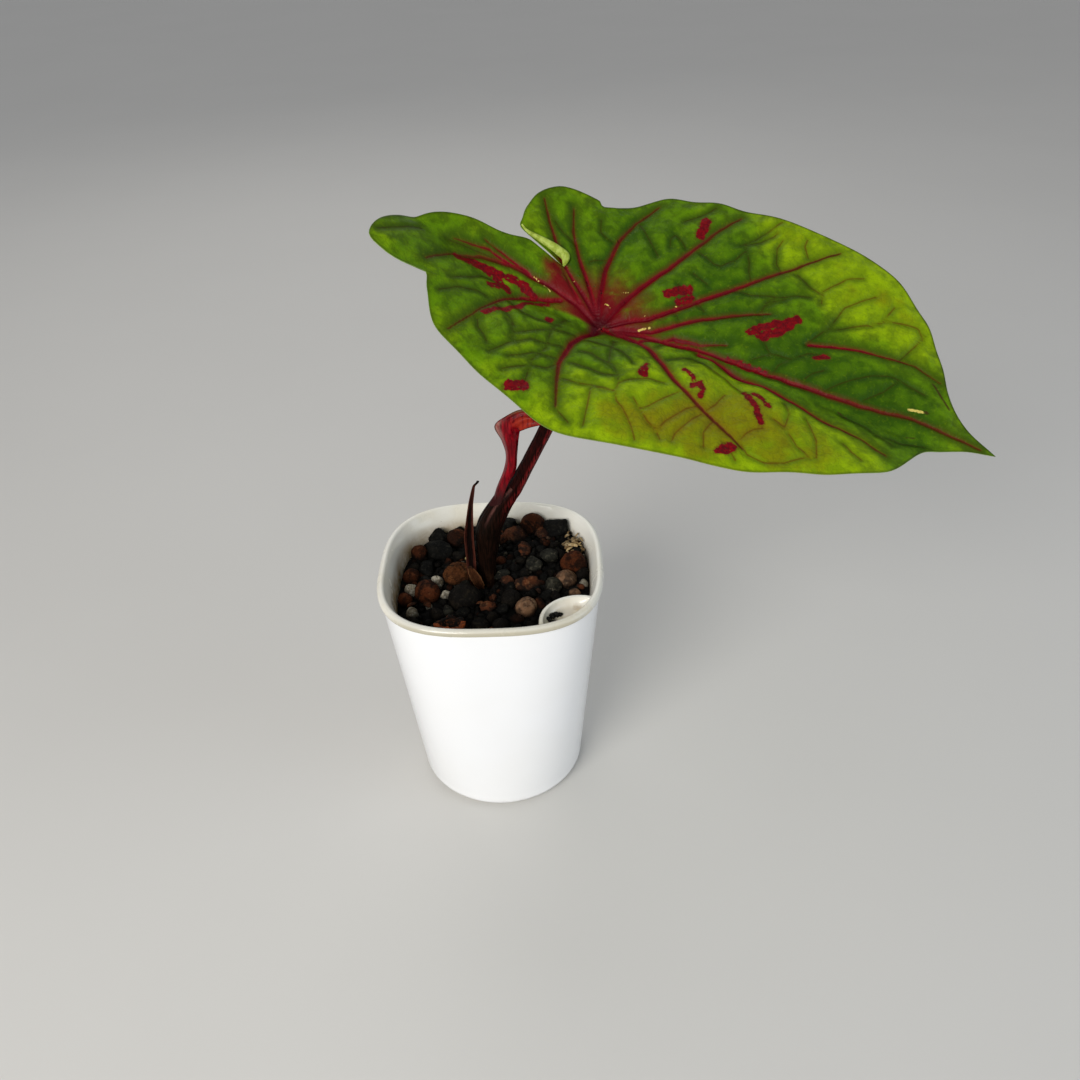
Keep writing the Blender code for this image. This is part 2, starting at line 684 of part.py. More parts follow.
def brow_height(u, v):
    """Two swellings of the near half that rise steeply beside the midrib, one behind the other."""
    height = np.zeros(u.shape)
    for lift, rises, falls in BROWS:
        height = height + lift * smooth_step(u, *rises) * (1 - smooth_step(u, *falls))
    return height * smooth_step(-v, -BROW_TOP, BROW_WIDTH - BROW_TOP) * np.exp(np.minimum(v, 0) / 22)


def blade_height(u, v):
    """Height w of the blade's upper face above its own plane.

    The near half bulges and then levels out, the far half climbs, the lobes lift, the tip hangs and
    the main veins lie in valleys that are deepest at the stalk.
    """
    out = np.sqrt(v * v + 4) - 2
    near = 6.0 * (1 - np.exp(-out / 10)) + 0.04 * out - 0.0012 * v * v
    far = 3.0 * (1 - np.exp(-out / 10)) + 0.2 * out
    height = np.where(v < 0, near, far)
    height = height - 0.0006 * np.maximum(u - 60, 0) ** 2 + 0.004 * np.minimum(u, 0) ** 2
    gap, along = distance_to_veins(u, v)
    centre = np.hypot(u - STALK_MEETS[0], v - STALK_MEETS[1])
    depth = 2.6 * np.exp(-centre / 45) + 1.2 * (1 - along)
    height = height + depth * (1 - np.exp(-((gap / 6.5) ** 1.3))) - depth
    return height + brow_height(u, v) - 1.2 * np.exp(-(centre**2) / 60)


def smooth_outline(count):
    """The outline as a closed smooth curve at even lengths, sharp at the tip and at the slit."""
    data = np.array(BLADE_OUTLINE, float)
    tip = int(data[:, 0].argmax())
    first = smooth_line(data[: tip + 1], 400)
    second = smooth_line(np.vstack([data[tip:], data[:1]]), 400)
    result = []
    for curve, share in ((first, count // 2), (second, count - count // 2)):
        length = np.concatenate([[0], np.cumsum(np.hypot(*np.diff(curve, axis=0).T))])
        even = np.linspace(0, length[-1], share + 1)[:-1]
        result.append(np.stack([np.interp(even, length, curve[:, axis]) for axis in (0, 1)], 1))
    return np.vstack(result)


def inside_outline(outline, u, v):
    """Whether a point lies inside the closed outline, by counting the edges to one side of it."""
    after = np.roll(outline, -1, axis=0)
    spans = (outline[:, 1] > v) != (after[:, 1] > v)
    rise = np.where(spans, after[:, 1] - outline[:, 1], 1.0)
    crossing = outline[:, 0] + (v - outline[:, 1]) / rise * (after[:, 0] - outline[:, 0])
    return np.count_nonzero(spans & (u < crossing)) % 2 == 1


def blade_points(outline):
    """The outline's points, then points along the main veins, then an even net between them."""
    kept = [tuple(point) for point in outline]

    def keep_if_free(u, v, space):
        nearest = min(math.hypot(u - pu, v - pv) for pu, pv in kept)
        if nearest > space * NET_SPACING and inside_outline(outline, u, v):
            kept.append((u, v))

    for vein in MAIN_VEINS:
        line = smooth_line(vein, 200)
        length = np.concatenate([[0], np.cumsum(np.hypot(*np.diff(line, axis=0).T))])
        for place in np.linspace(0, length[-1], round(length[-1] / NET_SPACING) + 1):
            u, v = (float(np.interp(place, length, line[:, axis])) for axis in (0, 1))
            keep_if_free(u, v, 0.45)
    low = outline.min(axis=0)
    high = outline.max(axis=0)
    row_height = NET_SPACING * math.sqrt(3) / 2
    for row in range(int((high[1] - low[1]) / row_height) + 1):
        for column in range(int((high[0] - low[0]) / NET_SPACING) + 1):
            u = low[0] + (column + 0.5 * (row % 2)) * NET_SPACING
            keep_if_free(u, low[1] + row * row_height, 0.62)
    return kept


def build_blade(material):
    """The blade: one even triangle net on both faces, which follow the same height."""
    outline = smooth_outline(EDGE_POINTS)
    kept = [Vector(point) for point in blade_points(outline)]
    net = delaunay_2d_cdt(kept, [], [list(range(EDGE_POINTS))], 1, 1e-6)
    flat = np.array([tuple(point) for point in net[0]])
    triangles = []
    for a, b, c in net[2]:
        one = flat[b] - flat[a]
        two = flat[c] - flat[a]
        triangles.append((a, b, c) if one[0] * two[1] > one[1] * two[0] else (a, c, b))
    u, v = flat[:, 0], flat[:, 1]
    top = np.stack([u, v, blade_height(u, v)], 1)
    step = 0.5
    rise_u = (blade_height(u + step, v) - blade_height(u - step, v)) / (2 * step)
    rise_v = (blade_height(u, v + step) - blade_height(u, v - step)) / (2 * step)
    out = np.stack([-rise_u, -rise_v, np.ones(len(flat))], 1)
    under = top - BLADE_THICKNESS * out / np.linalg.norm(out, axis=1, keepdims=True)
    basis = np.array([tuple(axis) for axis in leaf_axes()])
    points = np.vstack([top, under]) @ basis + np.array(HUB)
    half = len(flat)
    faces = list(triangles)
    faces += [(half + a, half + c, half + b) for a, b, c in triangles]
    sides = {(t[i], t[(i + 1) % 3]) for t in triangles for i in range(3)}
    for start, end in sorted(sides):
        if (end, start) not in sides:
            faces.append((start, half + start, half + end))
            faces.append((start, half + end, end))
    return add_mesh("leaf_blade", points.tolist(), faces, material, 60.0)


def build_stalk(material, blade):
    """The stalk: its top follows the blade's underside, a small gap below it."""
    rings = stalk_rings(0.0, STALK_SIDES, stalk_stations())
    tree = BVHTree.FromPolygons(
        [vertex.co / MM for vertex in blade.data.vertices],
        [list(face.vertices) for face in blade.data.polygons],
    )
    along, across, normal = leaf_axes()
    ahead = normal + Vector((0.5, 0.0, 0.4))
    hub = Vector(HUB) + along * STALK_MEETS[0] + across * STALK_MEETS[1]
    top = []
    for point in tube_ring(hub - normal * 12.0, ahead.normalized(), STALK_TOP_RADIUS, STALK_SIDES):
        hit = tree.ray_cast(Vector(point), normal)[0]
        top.append(tuple(hit - normal * STALK_TOP_GAP))
    below = [tuple(Vector(point) - normal * 1.6) for point in top]
    rings += [below, top]
    points, faces = loft(rings)
    middle = tree.ray_cast(hub - normal * 12.0, normal)[0] - normal * STALK_TOP_GAP
    points.append(tuple(middle))
    last = faces.pop()
    for index, corner in enumerate(last):
        faces.append((corner, last[(index + 1) % len(last)], len(points) - 1))
    return add_mesh("leaf_stalk", points, faces, material)


def push_clear(point, stations, gap, seated=False):
    """Moves a point straight away from the stalk until it is the gap from its skin.

    A seated point that is further away is drawn in to the gap.
    """
    place = np.array(point, float)
    middles = stations[:, :3]
    best = None
    for index in range(len(middles) - 1):
        start, end = middles[index], middles[index + 1]
        way = end - start
        t = min(max((place - start) @ way / (way @ way), 0.0), 1.0)
        axis = start + t * way
        radius = stations[index, 3] * (1 - t) + stations[index + 1, 3] * t
        space = np.linalg.norm(place - axis) - radius
        if best is None or space < best[0]:
            best = (space, axis, radius)
    space, axis, radius = best
    if space >= gap and not seated:
        return place
    out = place - axis
    return axis + out / np.linalg.norm(out) * (radius + gap)


def sheet(name, grid, thickness, material):
    """A thin closed blade on a grid of points, thickened evenly to both sides of it."""
    rows, columns = grid.shape[:2]
    along = np.gradient(grid, axis=0)
    across = np.gradient(grid, axis=1)
    normal = np.cross(across, along)
    normal /= np.linalg.norm(normal, axis=2, keepdims=True)
    front = (grid + normal * thickness / 2).reshape(-1, 3)
    back = (grid - normal * thickness / 2).reshape(-1, 3)
    count = rows * columns
    faces = []
    for row in range(rows - 1):
        for column in range(columns - 1):
            a = row * columns + column
            b, c, d = a + 1, a + columns + 1, a + columns
            faces += [(a, b, c), (a, c, d)]
            faces += [(count + a, count + c, count + b), (count + a, count + d, count + c)]
    border = list(range(columns))
    border += [row * columns + columns - 1 for row in range(1, rows)]
    border += [(rows - 1) * columns + column for column in range(columns - 2, -1, -1)]
    border += [row * columns for row in range(rows - 2, 0, -1)]
    for index, start in enumerate(border):
        end = border[(index + 1) % len(border)]
        faces += [(start, count + start, count + end), (start, count + end, end)]
    return add_mesh(name, np.vstack([front, back]).tolist(), faces, material, 60.0)


def build_young_leaf(material):
    """The young leaf, rolled like a funnel above its foot, with its top folded over to one side."""
    rows = smooth_line([np.array(row).ravel() for row in YOUNG_LEAF], 22).reshape(22, 4, 3)
    grid = np.array([smooth_line(row, 7) for row in rows])
    stations = stalk_stations()
    gap = SEAT + YOUNG_THICKNESS / 2 + 0.2
    for row in range(grid.shape[0]):
        for column in range(grid.shape[1]):
            grid[row, column] = push_clear(grid[row, column], stations, gap, seated=row < 2)
    return sheet("young_leaf", grid, YOUNG_THICKNESS, material)


def build_husk(name, line, rows, material):
    """A narrow leaf folded along its middle, open towards the front."""
    stations = stalk_stations()
    gap = SEAT + HUSK_THICKNESS / 2 + 0.15
    grid = np.zeros((rows, 5, 3))
    for row, (x, y, z, half, fold) in enumerate(smooth_line(line, rows)):
        for column, share in enumerate((-1.0, -0.55, 0.0, 0.55, 1.0)):
            place = (x + half * share, y - fold * share * share + 0.5 * fold, z)
            grid[row, column] = push_clear(place, stations, gap)
    return sheet(name, grid, HUSK_THICKNESS, material)


def main():
    clear_scene()
    shell_white = surface("glossy white", (0.80, 0.82, 0.84), 0.22)
    liner_white = surface("liner white", (0.80, 0.79, 0.74), 0.25)
    mix = surface("mineral mix", (0.10, 0.055, 0.035), 0.9)
    charcoal = surface("charcoal", (0.02, 0.02, 0.02), 0.85)
    corm = surface("tuber brown", (0.16, 0.09, 0.05), 0.85)
    blade_green = surface("leaf green", (0.20, 0.38, 0.02), 0.38)
    stalk_maroon = surface("stalk maroon", (0.06, 0.012, 0.014), 0.45)
    young_red = surface("young leaf red", (0.35, 0.01, 0.03), 0.35)
    husk_brown = surface("bract brown", (0.10, 0.025, 0.02), 0.7)
    dry_brown = surface("dried scale", (0.18, 0.08, 0.04), 0.85)

    build_outer_pot(shell_white)
    build_liner(liner_white)
    build_substrate(mix)
    build_spilled_grit(charcoal)
    add_mesh("tuber", *loft(tuber_rings(0.0)), corm)
    blade = build_blade(blade_green)
    build_stalk(stalk_maroon, blade)
    build_young_leaf(young_red)
    build_husk("bract", BRACT_LINE, 14, husk_brown)
    build_husk("dried_scale", SCALE_LINE, 7, dry_brown)


main()
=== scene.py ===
import math

import bmesh
import bpy
import numpy as np
from mathutils import Matrix, Vector


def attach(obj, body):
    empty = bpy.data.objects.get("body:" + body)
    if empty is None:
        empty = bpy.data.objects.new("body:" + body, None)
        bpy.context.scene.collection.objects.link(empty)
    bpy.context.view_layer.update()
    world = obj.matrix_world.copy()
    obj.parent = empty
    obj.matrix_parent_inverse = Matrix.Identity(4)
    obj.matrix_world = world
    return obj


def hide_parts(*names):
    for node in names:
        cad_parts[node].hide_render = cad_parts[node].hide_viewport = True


# A caladium in a small self-watering pot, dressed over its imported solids.
# Shapes are worked out in millimetres and become metres when a mesh is made.

mm = 0.001
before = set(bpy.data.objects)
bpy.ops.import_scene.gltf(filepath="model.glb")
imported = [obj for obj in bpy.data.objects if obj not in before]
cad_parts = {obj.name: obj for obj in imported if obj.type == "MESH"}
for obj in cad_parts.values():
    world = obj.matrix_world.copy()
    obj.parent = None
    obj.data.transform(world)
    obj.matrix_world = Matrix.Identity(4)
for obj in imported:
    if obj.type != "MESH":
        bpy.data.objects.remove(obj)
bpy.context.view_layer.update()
print("frame loaded:", len(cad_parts), "nodes")


# curves, noise and meshes that every piece shares

def turns(count):
    # angles at even steps round an axis
    return np.linspace(0, 2 * np.pi, count, endpoint=False)


def unitRing(turn):
    # points of a circle with radius 1
    return np.stack([np.cos(turn), np.sin(turn)], -1)


def unit(vectors):
    # each vector divided by its length
    return vectors / np.linalg.norm(vectors, axis=-1, keepdims=True)


def smoothLine(points, count):
    # Catmull-Rom curve: between two rows a cubic that leaves each one parallel to the chord of its neighbours
    data = np.asarray(points, float)
    data = np.vstack([2 * data[:1] - data[1:2], data, 2 * data[-1:] - data[-2:-1]])
    place = np.linspace(0, len(data) - 3, count)
    index = np.minimum(place.astype(int), len(data) - 4)
    t = (place - index).reshape(-1, *[1] * (data.ndim - 1))
    a, b, c, d = (data[index + step] for step in range(4))
    return 0.5 * (2 * b + (c - a) * t + (2 * a - 5 * b + 4 * c - d) * t**2 + (3 * b - a - 3 * c + d) * t**3)


def smoothStep(value, start, end):
    # 0 before start, 1 after end, and 3t^2 - 2t^3 between them
    t = np.clip((value - start) / (end - start), 0, 1)
    return t * t * (3 - 2 * t)


def softNoise(points, size, seed):
    # value noise from 0 to 1: a number hashed for each corner of a cubic lattice, blended smoothly between corners
    place = np.asarray(points) / size + 500.0
    base = np.floor(place).astype(np.int64)
    part = place - base
    part = part * part * (3 - 2 * part)
    total = np.zeros(place.shape[:-1])
    for corner in range(8):
        step = np.array([corner & 1, corner >> 1 & 1, corner >> 2 & 1])
        key = (base + step) @ np.array([73856093, 19349663, 83492791]) + seed * 9176213
        key = (key ^ (key >> 13)) * 1274126177
        value = ((key ^ (key >> 16)) & 0xFFFF) / 65535.0
        total += value * np.prod(np.where(step == 1, part, 1 - part), axis=-1)
    return total


def loftFaces(rows, columns, base=0):
    # quads between the rings of a grid whose columns run round, and a fan to a pole after each end
    low = base + np.arange(rows - 1)[:, None] * columns + np.arange(columns)
    after = base + np.arange(rows - 1)[:, None] * columns + (np.arange(columns) + 1) % columns
    quads = np.stack([low, after, after + columns, low + columns], 2).reshape(-1, 4)
    here = np.arange(columns)
    there = (here + 1) % columns
    start, end = base + rows * columns, base + rows * columns + 1
    top = base + (rows - 1) * columns
    bottomFan = np.stack([np.full(columns, start), base + there, base + here], 1)
    topFan = np.stack([np.full(columns, end), top + here, top + there], 1)
    return quads, np.vstack([bottomFan, topFan])


def loftSkin(grid):
    # a ring grid, rows first, closed at both ends by a pole in the middle of its end ring
    rows, columns = grid.shape[:2]
    points = np.vstack([grid.reshape(-1, 3), grid[0].mean(0), grid[-1].mean(0)])
    quads, fans = loftFaces(rows, columns)
    return points, quads, fans


def addObject(name, data):
    made = bpy.data.objects.new(name, data)
    bpy.context.scene.collection.objects.link(made)
    return made


def makePiece(name, skin, materials, nodes, sharp=None, picks=None, extra=None, weld=0.0):
    # a mesh from a skin's points, quads and triangles, with named numbers on its points and its faces' material
    # places; points nearer to each other than the weld become one
    points, quads, fans = skin
    mesh = bpy.data.meshes.new(name)
    corners = np.concatenate([quads.ravel(), fans.ravel()]).astype(np.int32)
    sizes = np.concatenate([np.full(len(quads), 4), np.full(len(fans), 3)])
    mesh.vertices.add(len(points))
    mesh.vertices.foreach_set("co", (np.asarray(points) * mm).astype(np.float32).ravel())
    mesh.loops.add(len(corners))
    mesh.loops.foreach_set("vertex_index", corners)
    mesh.polygons.add(len(sizes))
    mesh.polygons.foreach_set("loop_start", (np.cumsum(sizes) - sizes).astype(np.int32))
    if picks is not None:
        mesh.polygons.foreach_set("material_index", np.asarray(picks, np.int32))
    mesh.update(calc_edges=True)
    for key, values in (extra or {}).items():
        if values.ndim == 2:
            mesh.uv_layers.new(name=key).data.foreach_set("uv", values[corners].astype(np.float32).ravel())
        else:
            mesh.attributes.new(key, "FLOAT", "POINT").data.foreach_set("value", values.astype(np.float32))
    if weld:
        shell = bmesh.new()
        shell.from_mesh(mesh)
        bmesh.ops.remove_doubles(shell, verts=shell.verts, dist=weld * mm)
        shell.to_mesh(mesh)
        shell.free()
    mesh.validate()
    mesh.shade_smooth()
    if sharp:
        mesh.set_sharp_from_angle(angle=math.radians(sharp))
    for material in materials:
        mesh.materials.append(material)
    piece = addObject(name, mesh)
    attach(piece, "root")
    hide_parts(*nodes)
    print("made", name, len(mesh.polygons), "faces")
    return piece


def joinSkins(skins):
    # several closed skins as one list of points, quads and triangles
    points, quads, fans, count = [], [], [], 0
    for somePoints, someQuads, someFans in skins:
        points.append(somePoints)
        quads.append(someQuads + count)
        fans.append(someFans + count)
        count += len(somePoints)
    return np.vstack(points), np.vstack(quads), np.vstack(fans)


# node helpers for the materials

class Wire:
    # a node's output; + - and * on it add the math nodes that work out the result
    def __init__(self, tree, socket):
        self.tree, self.socket = tree, socket

    def __add__(self, other):
        return calc("ADD", self, other)

    def __sub__(self, other):
        return calc("SUBTRACT", self, other)

    def __rsub__(self, other):
        return calc("SUBTRACT", other, self)

    def __mul__(self, other):
        return calc("MULTIPLY", self, other)


def linear(colour):
    # a screen colour from 0 to 255 as the linear one that a shader takes; a wire or a linear colour stays
    if isinstance(colour, Wire) or len(colour) == 4:
        return colour
    value = np.array(colour) / 255
    return (*np.where(value <= 0.04045, value / 12.92, ((value + 0.055) / 1.055) ** 2.4).tolist(), 1.0)


def newMaterial(name, roughness, **fixed):
    material = bpy.data.materials.new(name)
    material.use_nodes = True
    shader = material.node_tree.nodes["Principled BSDF"]
    for key, value in {"Roughness": roughness, **fixed}.items():
        shader.inputs[key.replace("_", " ")].default_value = value
    return material, material.node_tree, shader


def put(tree, kind, inputs, output=0, **settings):
    # adds a node, sets its options, links or sets its inputs, and gives one of its outputs
    made = tree.nodes.new(kind)
    for key, value in settings.items():
        setattr(made, key, value)
    for key, value in inputs.items():
        if isinstance(value, Wire):
            tree.links.new(value.socket, made.inputs[key])
        else:
            made.inputs[key].default_value = value
    return Wire(tree, made.outputs[output])


def calc(operation, a, b=0.0, c=0.0):
    # one math node, in the tree of whichever input is a wire
    tree = next(value.tree for value in (a, b, c) if isinstance(value, Wire))
    return put(tree, "ShaderNodeMath", {0: a, 1: b, 2: c}, operation=operation)


def fade(value, start, end, low=0.0, high=1.0):
    # low before the start, high after the end, and a smooth step between them
    inputs = {"Value": value, "From Min": start, "From Max": end, "To Min": low, "To Max": high}
    return put(value.tree, "ShaderNodeMapRange", inputs, interpolation_type="SMOOTHSTEP")


def blend(amount, one, other):
    # one where the amount is 0 and the other where it is 1
    return put(amount.tree, "ShaderNodeMix", {0: amount, 6: linear(one), 7: linear(other)}, 2, data_type="RGBA")


def coats(body, *layers):
    # colours laid over each other, each given after how much of it shows
    for amount, colour in layers:
        body = blend(amount, body, colour)
    return body


def place(tree):
    # the point in metres, in the object's own coordinates
    return put(tree, "ShaderNodeTexCoord", {}, "Object")


def axis(where, index):
    return put(where.tree, "ShaderNodeSeparateXYZ", {0: where}, index)


def stretched(where, share, turn=0.0):
    # the place turned about Y, with its height shrunk so that what is drawn on it becomes upright streaks
    return put(where.tree, "ShaderNodeMapping", {0: where, 2: (0, math.radians(turn), 0), 3: (1, 1, share)})


def noise(where, scale, detail=3.0, rough=0.55, bend=0.0):
    inputs = {"Vector": where, "Scale": scale, "Detail": detail, "Roughness": rough, "Distortion": bend}
    return put(where.tree, "ShaderNodeTexNoise", inputs)


def cells(where, scale, feature="F1"):
    return put(where.tree, "ShaderNodeTexVoronoi", {"Vector": where, "Scale": scale}, "Distance", feature=feature)


def number(tree, name):
    # a named number that makePiece wrote on the points
    return put(tree, "ShaderNodeAttribute", {}, "Fac", attribute_name=name)


def rimGap(across):
    # how far a sheet's point is from its nearer side, where across runs from 0 to 1
    return calc("MINIMUM", across, 1.0 - across)


def join(shader, **wires):
    for key, wire in wires.items():
        wire.tree.links.new(wire.socket, shader.inputs[key.replace("_", " ")])


def bump(shader, height, strength, distance):
    inputs = {"Height": height, "Strength": strength, "Distance": distance * mm}
    join(shader, Normal=put(height.tree, "ShaderNodeBump", inputs))


# pot and liner

potShape = {
    "rimWidth": 100.0, "height": 117.5, "baseWidth": 77.2,
    "baseExponent": 1.97, "rimExponent": 2.94,  # 2 is a circle, higher is squarer
    "shellTop": 114.0, "shellTopHalf": 48.9, "shellWall": 2.0,
    "columns": 224,
}
linerShape = {
    "wall": 1.8, "clearance": 0.4, "taper": 0.008, "flange": 114.35,
    "columnCentre": (38.0, -42.0), "basinReach": 15.0, "columnReach": 16.8,
    "basinFloor": 112.6, "basinLip": 116.4, "wallSweep": 3.4, "rimSweep": 5.5,  # how far the dish's sides sweep in
    "drainHole": (27.3, -36.6, 1.7), "drainCut": (109.0, 113.8),  # x, y, radius; lowest and highest point
    "fineSpread": 21, "fineSteps": 104, "coarseSteps": 200,  # degrees to each side of the basin, and steps round
    # radius and height of the hollow foot's outside and of its inside
    "foot": ((8.0, 2.75), (11.0, 2.75), (11.9, 3.1), (12.3, 3.75), (12.9, 20.0), (13.4, 36.0), (14.6, 36.5)),
    "footInside": ((12.6, 38.3), (11.9, 37.6), (11.4, 20.0), (10.9, 4.8), (10.3, 4.25), (7.0, 4.25)),
    # inset from the rim's outer edge and height, over the lip
    "lip": ((2.0, 114.35), (0.9, 114.35), (0.45, 114.42), (0.15, 114.7), (0.03, 115.2), (0.0, 115.8), (0.1, 116.3),
            (0.32, 116.75), (0.65, 117.12), (1.05, 117.38), (1.5, 117.5), (1.95, 117.48), (2.4, 117.36), (2.75, 117.1),
            (3.0, 116.8), (3.2, 116.4)),
    "lipInset": 3.2,
    # distance from the column's middle and height, over the top of the basin's round wall
    "dam": ((15.02, 116.45), (15.25, 116.58), (15.6, 116.66), (15.9, 116.68), (16.2, 116.64), (16.5, 116.5),
            (16.7, 116.25)),
    "flareFoot": 109.5, "flareTop": 110.0, "edgeEase": 0.5, "columnEase": 1.1,
}
potColours = {
    "body": (247, 248, 250), "bodyWarm": (243, 243, 242), "footMottle": (170, 164, 152), "bodyRoughness": 0.2,
    "rim": (233, 231, 222), "rimStain": (220, 210, 184), "frontShade": (180, 173, 150), "damp": (168, 140, 98),
    "speck": (96, 72, 48), "linerRoughness": 0.24,
    # place in metres, reach, strength and colour of each stain in and by the basin
    "stains": (
        ((0.0335, -0.0335, 0.1126), 0.0085, 0.5, (196, 182, 164)),
        ((0.038, -0.0300, 0.1135), 0.003, 0.55, (160, 134, 104)),
        ((0.0385, -0.0345, 0.1150), 0.006, 0.6, (222, 204, 164)),
        ((0.0320, -0.0385, 0.1150), 0.006, 0.5, (222, 204, 164)),
    ),
}


def shellHalf(z):
    # half the shell's width at a height: a straight line from the base to the rim
    return potShape["baseWidth"] / 2 + (potShape["shellTopHalf"] - potShape["baseWidth"] / 2) * z / potShape["shellTop"]


def linerOuter(z):
    taper = linerShape["taper"] * (potShape["shellTop"] - z)
    return shellHalf(z) - potShape["shellWall"] - linerShape["clearance"] - taper


def linerInner(z):
    return linerOuter(z) - linerShape["wall"]


def exponentAt(z):
    # the squircle's exponent grows evenly from the base to the rim
    grow = np.clip(np.asarray(z, float) / potShape["height"], 0, 1)
    return potShape["baseExponent"] + (potShape["rimExponent"] - potShape["baseExponent"]) * grow


def squircle(half, exponent, angles):
    # the radius at an angle of |x|^n + |y|^n = half^n
    across = np.abs(np.cos(angles)) ** exponent + np.abs(np.sin(angles)) ** exponent
    return half * across ** (-1.0 / exponent)


def columnRadius(reach, angles):
    # distance from the pot's axis to the near side of a circle round the basin's column, or a large value
    centre = math.hypot(*linerShape["columnCentre"])
    turn = angles - math.atan2(linerShape["columnCentre"][1], linerShape["columnCentre"][0])
    side = centre * np.sin(turn)
    hits = (np.abs(side) < reach) & (np.cos(turn) > 0)
    near = centre * np.cos(turn) - np.sqrt(np.maximum(reach * reach - side * side, 0))
    return np.where(hits, near, 1e9)


def ringGrid(radii, heights, angles):
    # rows of points from radii and heights, each given for every row and angle
    radii, heights, angles = np.broadcast_arrays(radii, heights, angles)
    return np.stack([radii * np.cos(angles), radii * np.sin(angles), heights], 2)


def arcRows(centre, radius, start, end, count):
    # points of a circle's arc between two angles in degrees
    turn = np.radians(np.linspace(start, end, count))
    return [(centre[0] + radius * math.cos(t), centre[1] + radius * math.sin(t)) for t in turn]


def potShell():
    # a profile of half widths and heights, up the outside and down the inside, each row a squircle
    top = potShape["shellTopHalf"]
    rows = [(12.0, 0.6), (30.5, 0.6), (31.5, 0.0), (33.0, 0.0)] + arcRows((34.25, 4.85), 4.85, -90, -4, 12)
    rows += [(shellHalf(z), z) for z in np.linspace(6, 113.4, 44)]
    rows += arcRows((top - 0.55, 113.45), 0.55, 20, 90, 6) + arcRows((top - 1.5, 113.5), 0.5, 90, 170, 5)
    rows += [(shellHalf(z) - potShape["shellWall"], z) for z in np.linspace(112.8, 7.0, 30)]
    rows += arcRows((34.2, 5.4), 3.0, -8, -90, 8) + [(20.0, 2.4)]
    half, z = np.array(rows).T[:, :, None]
    angles = turns(potShape["columns"])
    return loftSkin(ringGrid(squircle(half, exponentAt(z), angles), z, angles))


def linerAngles():
    # finer steps where the basin is
    corner = math.atan2(linerShape["columnCentre"][1], linerShape["columnCentre"][0])
    spread = math.radians(linerShape["fineSpread"])
    fineSteps, coarseSteps = linerShape["fineSteps"], linerShape["coarseSteps"]
    fine = corner - spread + 2 * spread * np.arange(fineSteps) / fineSteps
    coarse = corner + spread + (2 * math.pi - 2 * spread) * np.arange(coarseSteps) / coarseSteps
    return np.concatenate([fine, coarse])


def softLess(one, other, ease):
    # the lesser of two values, rounded off where they are nearly the same
    low, high = np.minimum(one, other), np.maximum(one, other)
    return low - ease * np.log1p(np.exp(-np.minimum((high - low) / ease, 60)))


def linerSkin():
    # rows up the outside, over the lip, across the basin's dish to its round wall, and down the inside;
    # where there is no basin, the dish's rows all lie on the lip's inner edge
    shape, angles = linerShape, linerAngles()
    shaft, column = columnRadius(shape["basinReach"], angles), columnRadius(shape["columnReach"], angles)
    edge, lipZ = potShape["rimWidth"] / 2, shape["basinLip"]
    radii, heights = [], []

    def row(radius, z):
        radii.append(np.broadcast_to(radius, angles.shape))
        heights.append(np.broadcast_to(z, angles.shape))

    def wall(half, z):
        return squircle(half, exponentAt(z), angles)

    for radius, z in shape["foot"]:
        row(radius, z)
    row(np.minimum(wall(linerOuter(36.5) - 1.2, 36.5), shaft), 36.5)
    for z in (36.8, 37.7, *np.linspace(44, 110.2, 15), 110.6):
        row(np.minimum(wall(linerOuter(z) - max(37.7 - z, 0) * 0.5, z), shaft), z)
    for z in np.linspace(110.6, 113.4, 4):
        row(wall(linerOuter(z), z), z)
    row(wall(linerOuter(113.4), 114.3), shape["flange"])
    for inset, z in shape["lip"]:
        row(wall(edge - inset, z), z)
    rim = wall(edge - shape["lipInset"], lipZ)
    inner = softLess(shaft, rim, shape["edgeEase"])
    cx, cy = shape["columnCentre"]
    for share in 0.5 - 0.5 * np.cos(np.linspace(0, np.pi, 30)[1:-1]):
        radius = rim + (inner - rim) * share
        fromWall = shape["basinReach"] - np.hypot(radius * np.cos(angles) - cx, radius * np.sin(angles) - cy)
        sides = 1.0
        for away, sweep in ((fromWall, shape["wallSweep"]), (rim - radius, shape["rimSweep"])):
            t = np.clip(1 - away / sweep, 0, 1)
            sides = sides * np.sqrt(1 - t * t)
        row(radius, lipZ - (lipZ - shape["basinFloor"]) * sides)
    for reach, z in shape["dam"]:
        circle = columnRadius(reach, angles)
        height = lipZ + (z - lipZ) * smoothStep(rim - circle, -0.6, 0.8)
        row(softLess(circle, rim - 0.02 * (reach - 15), shape["edgeEase"]), height)
    flareFoot, straight = shape["flareFoot"], linerInner(shape["flareTop"])
    for z in (115.8, 115.2, 114.4, 113.2, 112.0, 110.8, 109.6, *np.linspace(108, 40.5, 22)):
        flare = (edge - shape["lipInset"] - straight) * max((z - flareFoot) / (lipZ - flareFoot), 0) ** 1.7
        half = linerInner(z) if z < flareFoot else straight + flare
        row(softLess(wall(half, z), column, shape["columnEase"]), z)
    row(np.minimum(wall(linerInner(38.6) - 0.6, 38.6), column), 39.0)
    row(np.minimum(wall(linerInner(38.3) - 1.6, 38.3), column - 0.2), 38.3)
    for radius, z in shape["footInside"]:
        row(radius, z)
    return loftSkin(ringGrid(np.array(radii), np.array(heights), angles))


